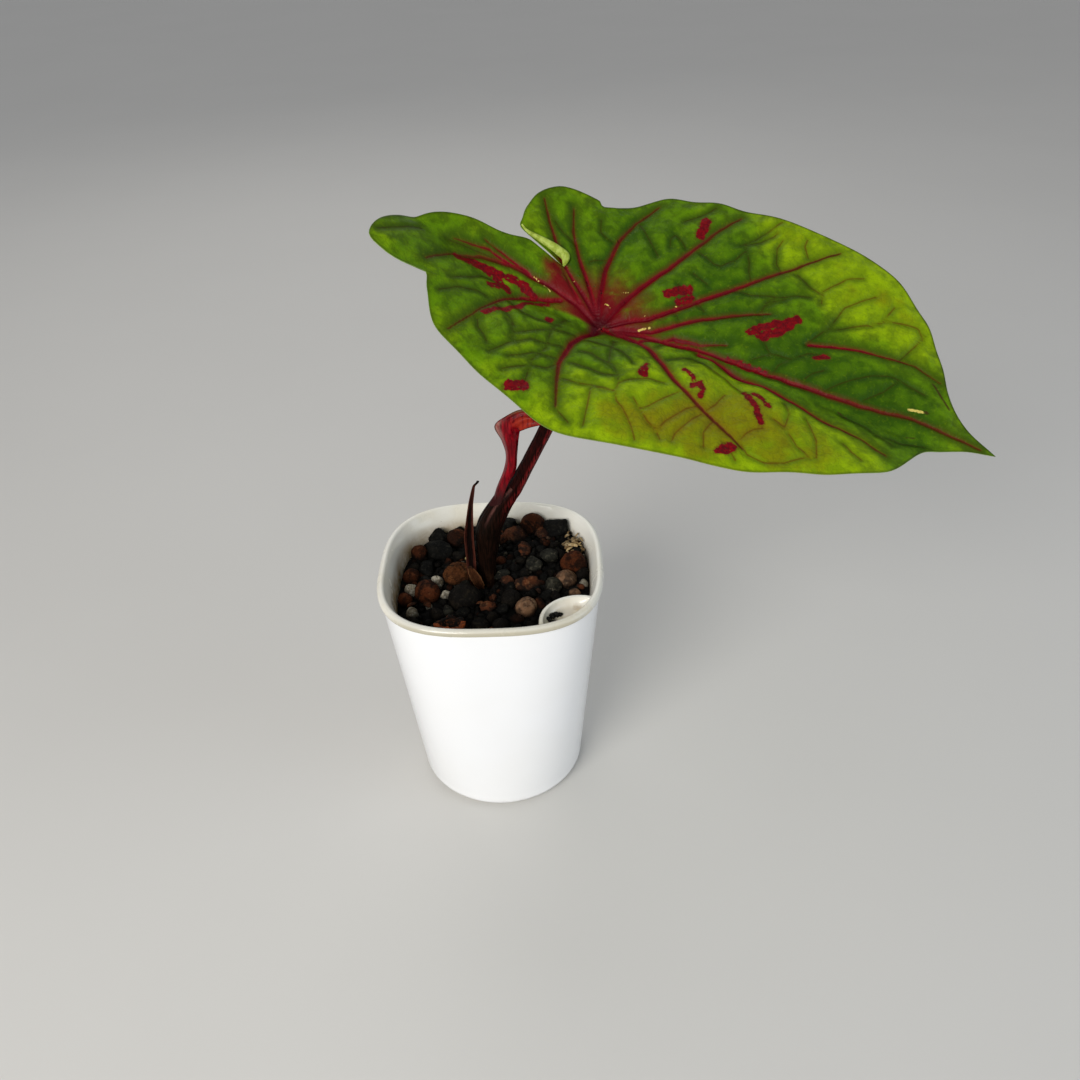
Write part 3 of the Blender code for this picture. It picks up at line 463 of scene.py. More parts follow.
def potMaterial():
    # smooth moulded plastic: hardly any cloud in its white, a little in its gloss, and faint grey patches that grow
    # darker towards its foot
    material, tree, shader = newMaterial("potWhite", potColours["bodyRoughness"], Coat_Weight=0.3, Coat_Roughness=0.08)
    where = place(tree)
    # darker grey patches in the lowest 6 mm, more towards the bottom
    footMottle = fade(axis(where, 2), 0.006, 0.0005) * fade(noise(where, 300, 4, 0.7), 0.45, 0.7, 0, 0.4)
    body = coats(potColours["body"], (fade(noise(where, 14), 0.35, 0.7, 0, 0.6), potColours["bodyWarm"]),
                 (footMottle, potColours["footMottle"]))
    join(shader, Base_Color=body, Roughness=fade(noise(where, 30, 4), 0.3, 0.75, 0.17, 0.27))
    return material


def linerMaterial():
    # clouded white, with painted shade along the front of the rim that is a little creamier too, damp stains that climb
    # from the mix and a few specks
    roughness = potColours["linerRoughness"]
    material, tree, shader = newMaterial("linerWhite", roughness, Coat_Weight=0.35, Coat_Roughness=0.1)
    where = place(tree)
    height = axis(where, 2)
    cloud = fade(noise(where, 30, 4, 0.6), 0.4, 0.8)
    # painted shade on the rim's front face, a little creamier, weaker over its top
    front = fade(axis(where, 1), -0.030, -0.046) * fade(height, 0.1174, 0.1160, 0.35, 1)
    damp = fade(height, 0.1135, 0.1045) * fade(noise(where, 140, 5, 0.7), 0.3, 0.65, 0.4, 1.0)
    specks = fade(noise(where, 900, 2, 0.5), 0.74, 0.8, 0, 0.7) * fade(height, 0.1172, 0.109, 0.1, 1)
    body = coats(potColours["rim"], (cloud * 0.55, potColours["rimStain"]), (front * 0.9, potColours["frontShade"]),
                 (damp, potColours["damp"]), (specks, potColours["speck"]))
    for spot, reach, amount, tint in potColours["stains"]:
        away = put(tree, "ShaderNodeVectorMath", {0: where, 1: spot}, "Value", operation="DISTANCE")
        away = away + fade(noise(where, 260, 4), 0, 1, -0.002, 0.002)
        body = blend(fade(away, reach, reach * 0.2, 0, amount), body, tint)
    join(shader, Base_Color=body, Roughness=fade(noise(where, 60, 4), 0.3, 0.8, 0.16, 0.36))
    return material


def cutAway(piece, skin):
    # takes a closed skin out of a piece with one exact Boolean, which is then kept as its mesh
    points, quads, fans = skin
    cutterMesh = bpy.data.meshes.new("holes")
    cutterMesh.from_pydata((points * mm).tolist(), [], quads.tolist() + fans.tolist())
    cutter = addObject("holes", cutterMesh)
    step = piece.modifiers.new("holes", "BOOLEAN")
    step.operation, step.solver, step.object = "DIFFERENCE", "EXACT", cutter
    bpy.context.view_layer.update()
    before = len(piece.data.polygons)
    mesh = bpy.data.meshes.new_from_object(piece.evaluated_get(bpy.context.evaluated_depsgraph_get()))
    piece.modifiers.clear()
    bpy.data.objects.remove(cutter, do_unlink=True)
    piece.data = mesh
    print("holes cut in", piece.name, before, "to", len(mesh.polygons), "faces")


def postSkin(x, y, radius, low, high, sides=28):
    # an upright cylinder: one circle at each of two heights
    ring = np.array([x, y]) + radius * unitRing(turns(sides))
    return loftSkin(np.stack([np.column_stack([ring, np.full(sides, z)]) for z in (low, high)]))


def makePots():
    # the liner's drain hole is cut last, from under the basin's floor to just above it
    makePiece("potShell", potShell(), [potMaterial()], ["outer_pot"], sharp=50)
    liner = makePiece("potLiner", linerSkin(), [linerMaterial()], ["inner_liner"], sharp=50, weld=0.05)
    cutAway(liner, postSkin(*linerShape["drainHole"], *linerShape["drainCut"]))


# the mix: a bumpy core with stones of several kinds half sunk in it

mixShape = {
    "middle": 103.5, "slope": (0.07, 0.10),
    "pit": (-5.6, 5.4, 8.2, 99.6),  # x, y, radius, floor height, where the shoots leave
    "stalkHole": (-2.25, 8.0), "stalkHoleRadius": 4.35,
    "gap": 0.35, "stoneGap": 0.75, "columnGap": 1.0,
    "columns": 300, "topRows": 66, "grains": 1500, "grainSpread": 46, "seed": 5, "stoneSeed": 23,
    # radius and height inside the hollow foot, then inset from the liner and height at the foot of the wall
    "foot": ((4.0, 4.6), (10.55, 4.6), (10.55, 20.0), (10.55, 38.6), (11.5, 38.65)),
    "wallFoot": ((2.4, 38.65), (1.2, 39.6), (0.55, 40.65)),
    # share of the small and tiny stones that each kind takes
    "kinds": {"charcoal": 0.50, "clay": 0.17, "dark": 0.24, "grey": 0.05, "tan": 0.025, "pumice": 0.015},
    "broken": ("charcoal", "grey", "dark"),
    "grit": ((30.0, -34.3, 1.3), (28.4, -34.9, 1.6), (26.6, -35.6, 1.6), (25.5, -37.6, 1.5)),  # x, y, radius of a heap
    "flakes": (37.0, 21.5, 2.1, 3.0), "flakeCount": 44, "gritCount": 11,  # middle x and y, spread in x and y
    # count, least and greatest radius and crowding of the stones and chips that a seeded rule places
    "smallStones": (60, 2.2, 3.8, 0.72), "tinyStones": (330, 0.9, 2.0, 0.62), "smallChips": (16, 1.8, 3.0, 0.5),
    # soilShade and pitShade are painted shade: low down towards the soil, and in the pits
    "soot": (9, 8, 7), "soilShade": (7, 6, 5), "pitShade": (0.006, 0.005, 0.004, 1),  # the last one is linear
}
# four colours, roughness, scale of the mottle and of the pits, soot and shine
mixLooks = {
    "mixDirt": (((8, 6, 5), (16, 11, 8), (4, 3, 3), (30, 20, 14)), 0.9, 300, 900),
    "clayBalls": (((74, 36, 18), (58, 28, 14), (36, 20, 12), (94, 56, 34)), 0.85, 330, 620, 0.8, 0.05),
    "roughBall": (((80, 46, 24), (58, 32, 16), (36, 22, 12), (118, 80, 48)), 0.9, 420, 480, 0.5, 0.05),
    "tanBalls": (((122, 90, 66), (98, 70, 50), (68, 48, 34), (150, 122, 96)), 0.7, 330, 700, 0.6, 0.12),
    "darkBalls": (((20, 17, 14), (14, 12, 10), (30, 25, 18), (44, 38, 30)), 0.75, 380, 480, 0.4, 0.05),
    "pumiceBits": (((176, 168, 150), (146, 136, 118), (104, 94, 78), (204, 198, 184)), 0.9, 400, 520, 0.4, 0.05),
    "charcoalBits": (((13, 13, 12), (8, 8, 7), (22, 21, 18), (44, 42, 36)), 0.7, 420, 700, 0.4, 0.05),
    "greyBits": (((50, 49, 41), (36, 36, 31), (22, 22, 19), (96, 90, 76)), 0.7, 420, 700, 0.7, 0.05),
    "brokenShells": (((102, 54, 28), (76, 40, 21), (50, 28, 16), (130, 88, 58)), 0.85, 380, 900, 0.75),
    # the hollow shell: its near-black first colour is painted shade, and the orange shows only where its tone is high
    "hollowShells": (((14, 10, 7), (146, 70, 30), (60, 32, 18), (112, 62, 34)), 0.85, 380, 900, 0.2),
    "barkFlakes": (((188, 162, 116), (132, 104, 68), (84, 62, 42), (222, 204, 166)), 0.85, 300, 900),
    "creamCrumb": (((226, 204, 142), (206, 180, 120), (170, 140, 90), (240, 226, 180)), 0.8, 300, 900),
    "blackGrit": (((16, 15, 14), (10, 10, 10), (24, 22, 20), (52, 48, 44)), 0.6, 300, 900),
    "tuberSkin": (((96, 68, 46), (74, 50, 34), (54, 36, 26), (132, 98, 70)), 0.85, 120, 500),
}
stonePieces = {
    "clay": "clayBalls", "roughClay": "roughBall", "tan": "tanBalls", "dark": "darkBalls", "pumice": "pumiceBits",
    "charcoal": "charcoalBits", "grey": "greyBits",
}
tuberShape = {"centre": (-3.0, 8.5, 84.0), "radii": (17.0, 16.0, 11.0)}
# x, y, radius, flatness
stonesByKind = {
    "clay": ((-38.0, 8.5, 4.2, 0.95), (-35.5, 25.0, 4.4, 0.95), (-29.5, -4.0, 6.2, 0.95), (18.5, 38.5, 6.0, 0.95),
             (37.0, 8.0, 6.2, 0.95), (-39.5, -6.5, 3.6, 0.95), (-18.0, 33.0, 4.9, 0.95)),
    "roughClay": ((-16.0, 7.0, 6.7, 0.95),),
    "tan": ((15.5, -18.0, 5.3, 0.85), (33.5, -1.0, 5.0, 0.85), (37.0, -11.0, 2.8, 0.95)),
    "dark": ((-12.0, -8.5, 7.4, 0.90), (8.5, -11.5, 5.0, 0.85), (-4.5, -27.0, 4.4, 0.85), (4.5, -27.5, 3.9, 0.85)),
    "pumice": ((-37.0, -0.5, 3.6, 0.90), (-25.5, 4.0, 3.7, 0.90), (-21.0, -5.0, 2.9, 0.90), (-35.5, -15.5, 3.4, 0.90)),
    "charcoal": ((-25.5, 35.0, 5.2, 0.80), (-27.0, 24.0, 6.4, 0.70), (-31.0, 13.5, 4.8, 0.85), (30.0, 34.5, 6.0, 0.85),
                 (6.2, 40.0, 5.0, 0.85)),
    "grey": ((27.0, -5.5, 4.0, 0.80), (26.0, 14.5, 4.2, 0.75), (19.5, 11.0, 4.2, 0.80)),
}
# x, y, radius, bow, tilt and turn in degrees, stretch
chipList = (
    (10.0, 33.0, 6.4, 0.9, 18, 20, 0.8), (14.5, 22.0, 5.8, 0.35, 24, 80, 0.55), (15.8, -2.5, 6.8, 0.5, 30, 12, 0.5),
    (6.5, 1.0, 3.6, 0.6, 30, -20, 0.6), (-1.5, -15.0, 4.0, 0.6, 24, 10, 0.6),
    (23.5, 33.0, 5.0, 0.7, 20, 60, 0.8), (-1.0, -31.5, 4.4, 0.7, -35, 70, 0.55),
)
# x, y, radius, tilt, turn and reach of the rim in degrees
bowlList = ((-17.5, -29.0, 7.0, -14, 4, 84),)


def soilHeight(x, y):
    # the mix's mean surface is a plane that rises towards +X and +Y
    return mixShape["middle"] + mixShape["slope"][0] * x + mixShape["slope"][1] * y


def wallRadius(angles, z, gap):
    # how far the mix may reach from the axis: the liner's inside, or the basin's column where that is nearer
    wall = squircle(linerInner(z) - gap, exponentAt(z), angles)
    reach = linerShape["columnReach"] + mixShape["columnGap"] + gap - mixShape["gap"]
    return softLess(wall, columnRadius(reach, angles), linerShape["columnEase"])


def keepInside(points, gap):
    # draws points in to the liner's wall where they would pass it
    angles = np.arctan2(points[..., 1], points[..., 0])
    reach = np.hypot(points[..., 0], points[..., 1])
    limit = np.minimum(reach, wallRadius(angles, points[..., 2], gap))
    return np.stack([limit * np.cos(angles), limit * np.sin(angles), points[..., 2]], -1)


def grainBumps(x, y, rng):
    # the highest of many small domes, each sqrt(r^2 - d^2) over its own centre
    height = np.zeros(x.shape)
    spread, count = mixShape["grainSpread"], mixShape["grains"]
    for gx, gy, radius in zip(rng.uniform(-spread, spread, count), rng.uniform(-spread, spread, count),
                              rng.uniform(0.6, 1.9, count)):
        height = np.maximum(height, np.sqrt(np.maximum(radius**2 - (x - gx) ** 2 - (y - gy) ** 2, 0)))
    return height


def mixSkin():
    # rows up the foot and the outer wall, inwards over the bumpy top to the stalk, down beside it and
    # round the tuber's hollow, so that one closed skin has the hollow inside
    shape, gap = mixShape, mixShape["gap"]
    rng = np.random.default_rng(shape["seed"])
    angles = turns(shape["columns"])
    column = columnRadius(linerShape["columnReach"] + shape["columnGap"], angles)
    rows = [ringGrid(radius, z, angles[None])[0] for radius, z in shape["foot"]]
    for inset, z in (*shape["wallFoot"], *((gap, z) for z in np.linspace(46, 98, 14))):
        radius = np.minimum(squircle(linerInner(z) - inset, exponentAt(z), angles), column)
        rows.append(ringGrid(radius, z, angles[None])[0])
    z = np.full(len(angles), shape["middle"])
    for _ in range(4):  # the top's edge and the wall there depend on each other
        reach = wallRadius(angles, z, gap)
        z = soilHeight(reach * np.cos(angles), reach * np.sin(angles))
    outer = np.stack([reach * np.cos(angles), reach * np.sin(angles)], 1)
    middle = np.array(shape["stalkHole"])
    inner = middle + shape["stalkHoleRadius"] * unitRing(angles)
    share = np.linspace(0, 1, shape["topRows"])[:, None, None] ** 0.9
    flat = outer * (1 - share) + inner * share
    x, y = flat[..., 0], flat[..., 1]
    px, py, _, pitFloor = shape["pit"]
    fromPit = np.hypot(x - px, y - py) + 0.8 * softNoise(flat[..., [0, 1, 1]], 2.5, 3)
    hollow = 1 - smoothStep(fromPit, 6.6, 9.2)
    top = soilHeight(x, y) * (1 - hollow) + (pitFloor + 0.8) * hollow
    rough = grainBumps(x, y, rng) * smoothStep(share[..., 0], 0.0, 0.03) * (1 - 0.45 * hollow)
    top = top - 0.9 + rough + 0.5 * softNoise(flat[..., [0, 1, 1]], 5.0, 8)
    top[-1] = 98.6
    rows += list(np.stack([x, y, top], 2))
    for radius, z in ((4.3, 97.6), (4.3, 95.6)):
        rows.append(np.column_stack([middle + radius * unitRing(angles), np.full(len(angles), z)]))
    (cx, cy, cz), (wide, deep, high) = tuberShape["centre"], tuberShape["radii"]
    for polar in np.linspace(math.radians(17), math.radians(172), 16):
        lump = 1 + 0.05 * np.sin(3 * angles + 1) * math.sin(polar)
        rows.append(np.stack([cx + (wide * lump + gap) * math.sin(polar) * np.cos(angles),
                              cy + (deep * lump + gap) * math.sin(polar) * np.sin(angles),
                              cz + (high + gap) * math.cos(polar) + 0 * angles], 1))
    return loftSkin(np.stack(rows))


def roundWays(rows, columns):
    # directions over a sphere, from the lowest ring to the highest
    polar = np.pi * (1 - np.arange(1, rows + 1) / (rows + 1))[:, None]
    turn = turns(columns)
    return np.stack([np.sin(polar) * np.cos(turn), np.sin(polar) * np.sin(turn), np.cos(polar) + 0 * turn], 2)


def spinMatrix(turn, tilt):
    # tilts about X and then turns about Z, both in degrees
    return np.array(Matrix.Rotation(math.radians(turn), 3, "Z") @ Matrix.Rotation(math.radians(tilt), 3, "X"))


def raggedRing(rng, around, stretch, size):
    # noise from 0 to 1 along a ring, which ends as it starts
    ring = np.stack([np.cos(around), np.sin(around), 0 * around], 1)
    return softNoise(ring * stretch + rng.uniform(0, 50, 3), size, 4)


def stoneSkin(rng, kind, x, y, radius, flatness, rows, columns, lift=None, loose=False):
    # a sphere whose radius varies with direction: soft noise for a ball, soft planes for a broken chunk
    way = roundWays(rows, columns)
    shift = rng.uniform(0, 60, 3)

    def soft(scale, seed):
        return softNoise(way + shift, scale, seed)

    if kind in ("clay", "tan", "dark"):
        size = 1 + 0.16 * (soft(0.9, 1) - 0.5) + 0.07 * (soft(0.3, 2) - 0.5)
        if kind == "dark":
            size -= 0.05 * smoothStep(soft(0.4, 3), 0.55, 0.8)
    elif kind == "roughClay":
        pits = smoothStep(soft(0.2, 2), 0.45, 0.75)
        size = 1.04 + 0.2 * (soft(0.7, 1) - 0.5) - 0.12 * pits + 0.06 * (soft(0.14, 4) - 0.5)
    elif kind == "pumice":
        pits = smoothStep(soft(0.26, 2), 0.5, 0.72)
        size = 0.95 + 0.35 * (soft(0.8, 1) - 0.5) - 0.1 * pits
    else:
        planes = 11
        normals = unit(rng.normal(size=(planes, 3)))
        facing = np.maximum(way @ normals.T, 0) / rng.uniform(0.62, 1.0, planes)
        size = 1.04 * np.maximum((facing**10).sum(-1), 1e-9) ** -0.1
        size = np.minimum(size, 1.25) + 0.07 * (soft(0.3, 2) - 0.5)
    shape = way * size[..., None] * radius * np.array([1.0, rng.uniform(0.82, 1.0), flatness])
    turn = rng.uniform(0, 2 * math.pi)
    spin = np.array([[math.cos(turn), -math.sin(turn), 0], [math.sin(turn), math.cos(turn), 0], [0, 0, 1]])
    level = soilHeight(x, y) + radius * flatness * (rng.uniform(0.22, 0.42) if lift is None else lift)
    points = shape @ spin.T + np.array([x, y, level])
    return loftSkin(points if loose else keepInside(points, mixShape["stoneGap"]))


def chipSkin(rng, x, y, radius, bow, tilt, turn, stretch, rows=9, columns=36, thickness=1.1, level=None):
    # a bowed flake: a disc with a ragged edge, bent like a shell, out along its lower face and back over its
    # upper one
    around = turns(columns)
    edge = radius * (0.78 + 0.42 * raggedRing(rng, around, 1.6, 0.5))
    out = np.linspace(0.15, 1, rows)[:, None]
    x0 = out * edge * np.cos(around)
    y0 = out * edge * np.sin(around) * stretch
    dome = -bow * (x0**2 + y0**2) / radius / 2.2 + bow * radius * 0.25
    rough = 0.25 * (softNoise(np.stack([x0, y0, dome], 2) + rng.uniform(0, 50, 3), 1.1, 5) - 0.5)
    half = thickness / 2 * np.sqrt(np.maximum(1.02 - out**6, 0.02))
    lower = np.stack([x0, y0, dome - half + rough], 2)
    upper = np.stack([x0, y0, dome + half + rough], 2)[::-1]
    level = soilHeight(x, y) + 1.6 if level is None else level
    grid = np.concatenate([lower, upper]) @ spinMatrix(turn, tilt).T + np.array([x, y, level])
    return loftSkin(keepInside(grid, mixShape["stoneGap"]))


def toned(skins, rng):
    # one tone for each stone, held by all its points
    return joinSkins(skins), np.concatenate([np.full(len(skin[0]), rng.uniform(0, 1)) for skin in skins])


def fillerPlaces(rng, count, low, high, crowding, kept):
    # seeded places on the mix, clear of the pit and not much over the stones that are there
    placed, places = list(kept), []
    for _ in range(count * 30):
        if len(places) == count:
            break
        radius, x, y = rng.uniform(low, high), rng.uniform(-43, 43), rng.uniform(-43, 43)
        limit = wallRadius(np.array([math.atan2(y, x)]), soilHeight(x, y), 0.4)[0]
        near = np.array(placed)
        free = (np.hypot(near[:, 0] - x, near[:, 1] - y) > crowding * (near[:, 2] + radius)).all()
        pit = math.hypot(x - mixShape["pit"][0], y - mixShape["pit"][1]) > mixShape["pit"][2] - 1.0
        if free and pit and math.hypot(x, y) < limit - 0.8 * radius:
            placed.append((x, y, radius))
            places.append((x, y, radius))
    return places


def stoneMaterial(name, colours, roughness, mottle, pits, soot=0.45, shine=0.12):
    # tone picks between the first two colours, cloud brings in the third and grain the fourth; soot lies over
    # part of each stone, and painted shade darkens it towards the soil and in its pits
    material, tree, shader = newMaterial(name, roughness, Specular_IOR_Level=shine)
    where = place(tree)
    grain, fine = noise(where, mottle, 5, 0.65), noise(where, 1500, 4, 0.7)
    sooty = noise(where, 110, 5, 0.7, 0.5) + grain * 0.25
    soil = calc("MULTIPLY_ADD", axis(where, 0), mixShape["slope"][0], mixShape["middle"] * mm)
    soil = calc("MULTIPLY_ADD", axis(where, 1), mixShape["slope"][1], soil)
    holes = cells(where, pits) + fine * 0.15
    body = coats(colours[0], (fade(number(tree, "tone") + (grain - 0.5), 0.2, 0.75), colours[1]),
                 (fade(noise(where, mottle * 0.45, 4, 0.6, 0.6), 0.5, 0.66), colours[2]),
                 (fade(noise(where, mottle * 1.7, 3, 0.6), 0.52, 0.68, 0, 0.6), colours[3]),
                 (fade(sooty, 0.57, 0.7) * soot, mixShape["soot"]),
                 # painted shade: darker the nearer a point lies to the soil
                 (fade(axis(where, 2) - soil, 0.0036, 0.0006, 0, 0.8), mixShape["soilShade"]),
                 # painted shade in the pits
                 (fade(holes, 0.3, 0.12, 0, 0.8), mixShape["pitShade"]))
    join(shader, Base_Color=body, Roughness=fade(grain, 0.35, 0.7, roughness - 0.12, roughness + 0.1))
    bump(shader, fade(holes, 0.08, 0.4) * 0.8 + (fine + grain * 0.8), 0.8, 0.45)
    return material


def bowlSkin(rng, x, y, radius, tilt, turn, deep, rows=12, columns=44, wall=2.0):
    # part of a hollow ball with a ragged rim: up its outside from the foot and down its inside; its tone is high only
    # along the rim on the side towards -Y, and the rest stays near black as painted shade
    around = turns(columns)
    ends = np.radians(deep) * (0.86 + 0.28 * raggedRing(rng, around, 2.2, 0.4))
    share = np.linspace(0.1, 1, rows)
    polar = share[:, None] * ends
    cosine, sine = np.cos(around) + 0 * polar, np.sin(around) + 0 * polar
    sides = []
    for reach in (radius, radius - wall):
        lump = reach * (1 + 0.05 * (softNoise(np.stack([polar, cosine, sine], 2) * 3, 0.7, 2) - 0.5))
        sides.append(np.stack([lump * np.sin(polar) * cosine, lump * np.sin(polar) * sine, -lump * np.cos(polar)], 2))
    grid = np.concatenate([sides[0], sides[1][::-1]]) @ spinMatrix(turn, tilt).T
    grid = keepInside(grid + np.array([x, y, soilHeight(x, y) + radius * 1.05]), mixShape["stoneGap"])
    edge = np.concatenate([smoothStep(share, 0.55, 1.0), smoothStep(np.linspace(1, 0.1, rows), 0.93, 1.0)])
    near = smoothStep(-np.sin(around), -0.25, 0.35)  # bright only on the side towards -Y
    return loftSkin(grid), np.append(np.outer(edge, near), [edge[0], 0.0])


def mixPiece(name, skin, tone, look=None, slot="mineral_mix", node="substrate"):
    material = stoneMaterial(look or name, *mixLooks[look or name])
    makePiece(name, skin, [material], [node], extra={"tone": tone})


def makeStones(rng):
    # the placed stones of each kind, with small and tiny ones of the same kind between them
    named = [stone[:3] for stones in stonesByKind.values() for stone in stones] + [chip[:3] for chip in chipList]
    small = fillerPlaces(rng, *mixShape["smallStones"], named)
    tiny = fillerPlaces(rng, *mixShape["tinyStones"], named + small)
    kinds = mixShape["kinds"]
    drawn = rng.choice(list(kinds), len(small) + len(tiny), p=list(kinds.values()))
    for kind, name in stonePieces.items():
        skins = [stoneSkin(rng, kind, *stone, 30, 44) for stone in stonesByKind[kind]]
        for index, (x, y, radius) in enumerate(small + tiny):
            if drawn[index] == kind:
                form = "chunk" if kind in mixShape["broken"] or rng.uniform() < 0.6 else kind
                grid = (14, 20) if index < len(small) else (5, 8)
                skins.append(stoneSkin(rng, form, x, y, radius, rng.uniform(0.6, 0.95), *grid, rng.uniform(0.1, 0.55)))
        mixPiece(name, *toned(skins, rng))


def makeShards(rng):
    # bowed chips, the hollow half ball, the heap of bark flakes and the two crumbs
    chips = [chipSkin(rng, *chip) for chip in chipList]
    for x, y, radius in fillerPlaces(rng, *mixShape["smallChips"], [chip[:3] for chip in chipList]):
        bow, tilt, turn = rng.uniform(0.3, 0.9), rng.uniform(-30, 30), rng.uniform(0, 180)
        chips.append(chipSkin(rng, x, y, radius, bow, tilt, turn, 0.6, 5, 20, 0.9))
    mixPiece("brokenShells", *toned(chips, rng))
    skins, tones = zip(*[bowlSkin(rng, *bowl) for bowl in bowlList])
    mixPiece("hollowShells", joinSkins(skins), np.concatenate(tones))
    flakes = []
    middleX, middleY, spreadX, spreadY = mixShape["flakes"]
    for _ in range(mixShape["flakeCount"]):
        spot = (middleX + rng.normal(0, spreadX), middleY + rng.normal(0, spreadY))
        flakes.append(chipSkin(rng, *spot, rng.uniform(1.0, 2.6), 0.4, rng.uniform(-50, 50), rng.uniform(0, 180),
                               rng.uniform(0.25, 0.6), 4, 14, 0.5, soilHeight(*spot) + rng.uniform(1.2, 4.6)))
    mixPiece("barkFlakes", *toned(flakes, rng))
    crumbs = [stoneSkin(rng, "pumice", -12.3, 18.6, 1.5, 1.2, 12, 18, 0.6),
              stoneSkin(rng, "pumice", -12.9, 17.8, 1.0, 1.0, 10, 14, 0.2)]
    mixPiece("creamCrumb", *toned(crumbs, rng))


def makeGrit(rng):
    # small heaps of dark grains on the basin's floor, higher towards each heap's middle
    grit = []
    for gx, gy, radius in mixShape["grit"]:
        for _ in range(mixShape["gritCount"]):
            turn, away = rng.uniform(0, 2 * math.pi), rng.uniform(0, 0.95) * radius
            size = rng.uniform(0.35, 0.95) * (1.2 - 0.5 * away / radius)
            x, y = gx + away * math.cos(turn), gy + away * math.sin(turn)
            points, quads, fans = stoneSkin(rng, "chunk", x, y, size, 0.85, 7, 11, 0, True)
            rise = rng.uniform(0, 1) * (radius - away) * 0.7
            low = linerShape["basinFloor"] + size * 0.7 + rise - soilHeight(x, y)
            grit.append((points + np.array([0, 0, low]), quads, fans))
    mixPiece("basinGrit", *toned(grit, rng), "blackGrit", "charcoal", "spilled_grit")


def makeMix():
    rng = np.random.default_rng(mixShape["stoneSeed"])
    core = mixSkin()
    mixPiece("mixCore", core, np.full(len(core[0]), 0.3), "mixDirt")
    makeStones(rng)
    makeShards(rng)
    makeGrit(rng)
    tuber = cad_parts["tuber"]
    tuber.data.materials.clear()
    tuber.data.materials.append(stoneMaterial("tuberSkin", *mixLooks["tuberSkin"]))


# stalk, young leaf, bract and scale

stalkShape = {
    # x, y, z, radius along the middle line
    "line": ((-2.2, 8.3, 95.5, 3.4), (-2.3, 8.0, 102.0, 3.8), (-2.3, 7.8, 112.3, 4.4), (-1.4, 7.5, 122.0, 5.4),
             (-0.2, 7.3, 131.2, 5.9), (5.3, 7.0, 142.3, 5.0), (8.9, 6.8, 147.5, 4.2), (12.1, 6.6, 151.5, 3.4),
             (17.0, 6.2, 161.2, 3.0), (22.3, 5.8, 172.1, 2.9), (27.1, 5.4, 182.1, 2.9), (32.8, 5.0, 194.1, 2.8),
             (39.9, 4.4, 208.9, 2.6)),
    "sides": 72, "rows": 260, "collar": 2.55,
    "redSide": -2.45,  # added to the turn, so that its cosine is highest on the right
    # the radius: two rows of ridges and one of lumps, the sheath's step, and a roughness
    "ridge": 0.028, "fineRidge": 0.016, "lump": 0.03, "sheathStep": 0.5, "sheathLoss": 0.25, "rough": 0.12,
    # towards the blade: how far each last ring has gone there, how much it has grown and how far it stays under it
    "collarRings": ((0.55, 1.0, 3.4), (0.8, 1.04, 1.7), (0.93, 1.14, 0.85), (1.0, 1.34, 0.35)),
    "noEdge": 9.0,  # distance from the sheath's edge where there is no sheath
}
stalkColours = {
    "trunk": ((14, 9, 6), (34, 18, 12)), "petiole": ((18, 5, 4), (40, 9, 7), (56, 14, 11)),
    "redRidge": (112, 26, 28), "sheathEdge": (112, 72, 66), "foot": (52, 34, 22), "streakLean": -27,  # degrees
}
youngShape = {
    # four points a row from foot to tip, left edge first
    "rows": (
        ((1.6, 5.2, 143.5), (2.6, 3.0, 144.5), (4.0, 2.0, 145.5), (5.8, 1.8, 146.0)),
        ((4.2, 5.6, 152.0), (5.6, 3.4, 153.5), (7.6, 2.8, 155.0), (9.4, 2.8, 155.5)),
        ((7.8, 6.0, 161.0), (9.3, 2.8, 162.0), (11.4, 2.8, 162.0), (12.8, 4.6, 161.0)),
        ((9.0, 6.4, 168.0), (10.4, 2.8, 169.5), (12.6, 2.8, 169.5), (13.8, 4.6, 169.0)),
        ((7.6, 7.0, 174.5), (9.9, 2.6, 176.0), (12.8, 2.6, 176.0), (14.8, 3.6, 177.5)),
        ((4.9, 6.0, 181.9), (9.0, 2.2, 184.0), (12.4, 0.8, 183.6), (15.6, 1.0, 182.0)),
        ((9.2, 4.4, 187.0), (12.1, 1.4, 187.4), (14.6, -0.4, 186.0), (16.3, -0.4, 183.1)),
        ((17.2, 2.6, 191.2), (18.4, 0.4, 189.9), (19.1, -1.2, 188.2), (19.8, -1.4, 184.9)),
        ((25.0, -1.2, 188.4), (25.3, -1.6, 187.8), (25.6, -1.8, 187.1), (25.8, -1.8, 186.4)),
    ),
    "thickness": 0.55, "grid": (130, 40), "stalkGap": 0.85, "wave": 0.28,
    # corner is the pale pink of a painted highlight on the left corner
    "skin": ((80, 1, 11), (140, 5, 22)), "top": (146, 40, 22), "corner": (150, 104, 94), "behind": (112, 78, 36),
    "rim": (46, 4, 10), "foot": (44, 14, 14),
}
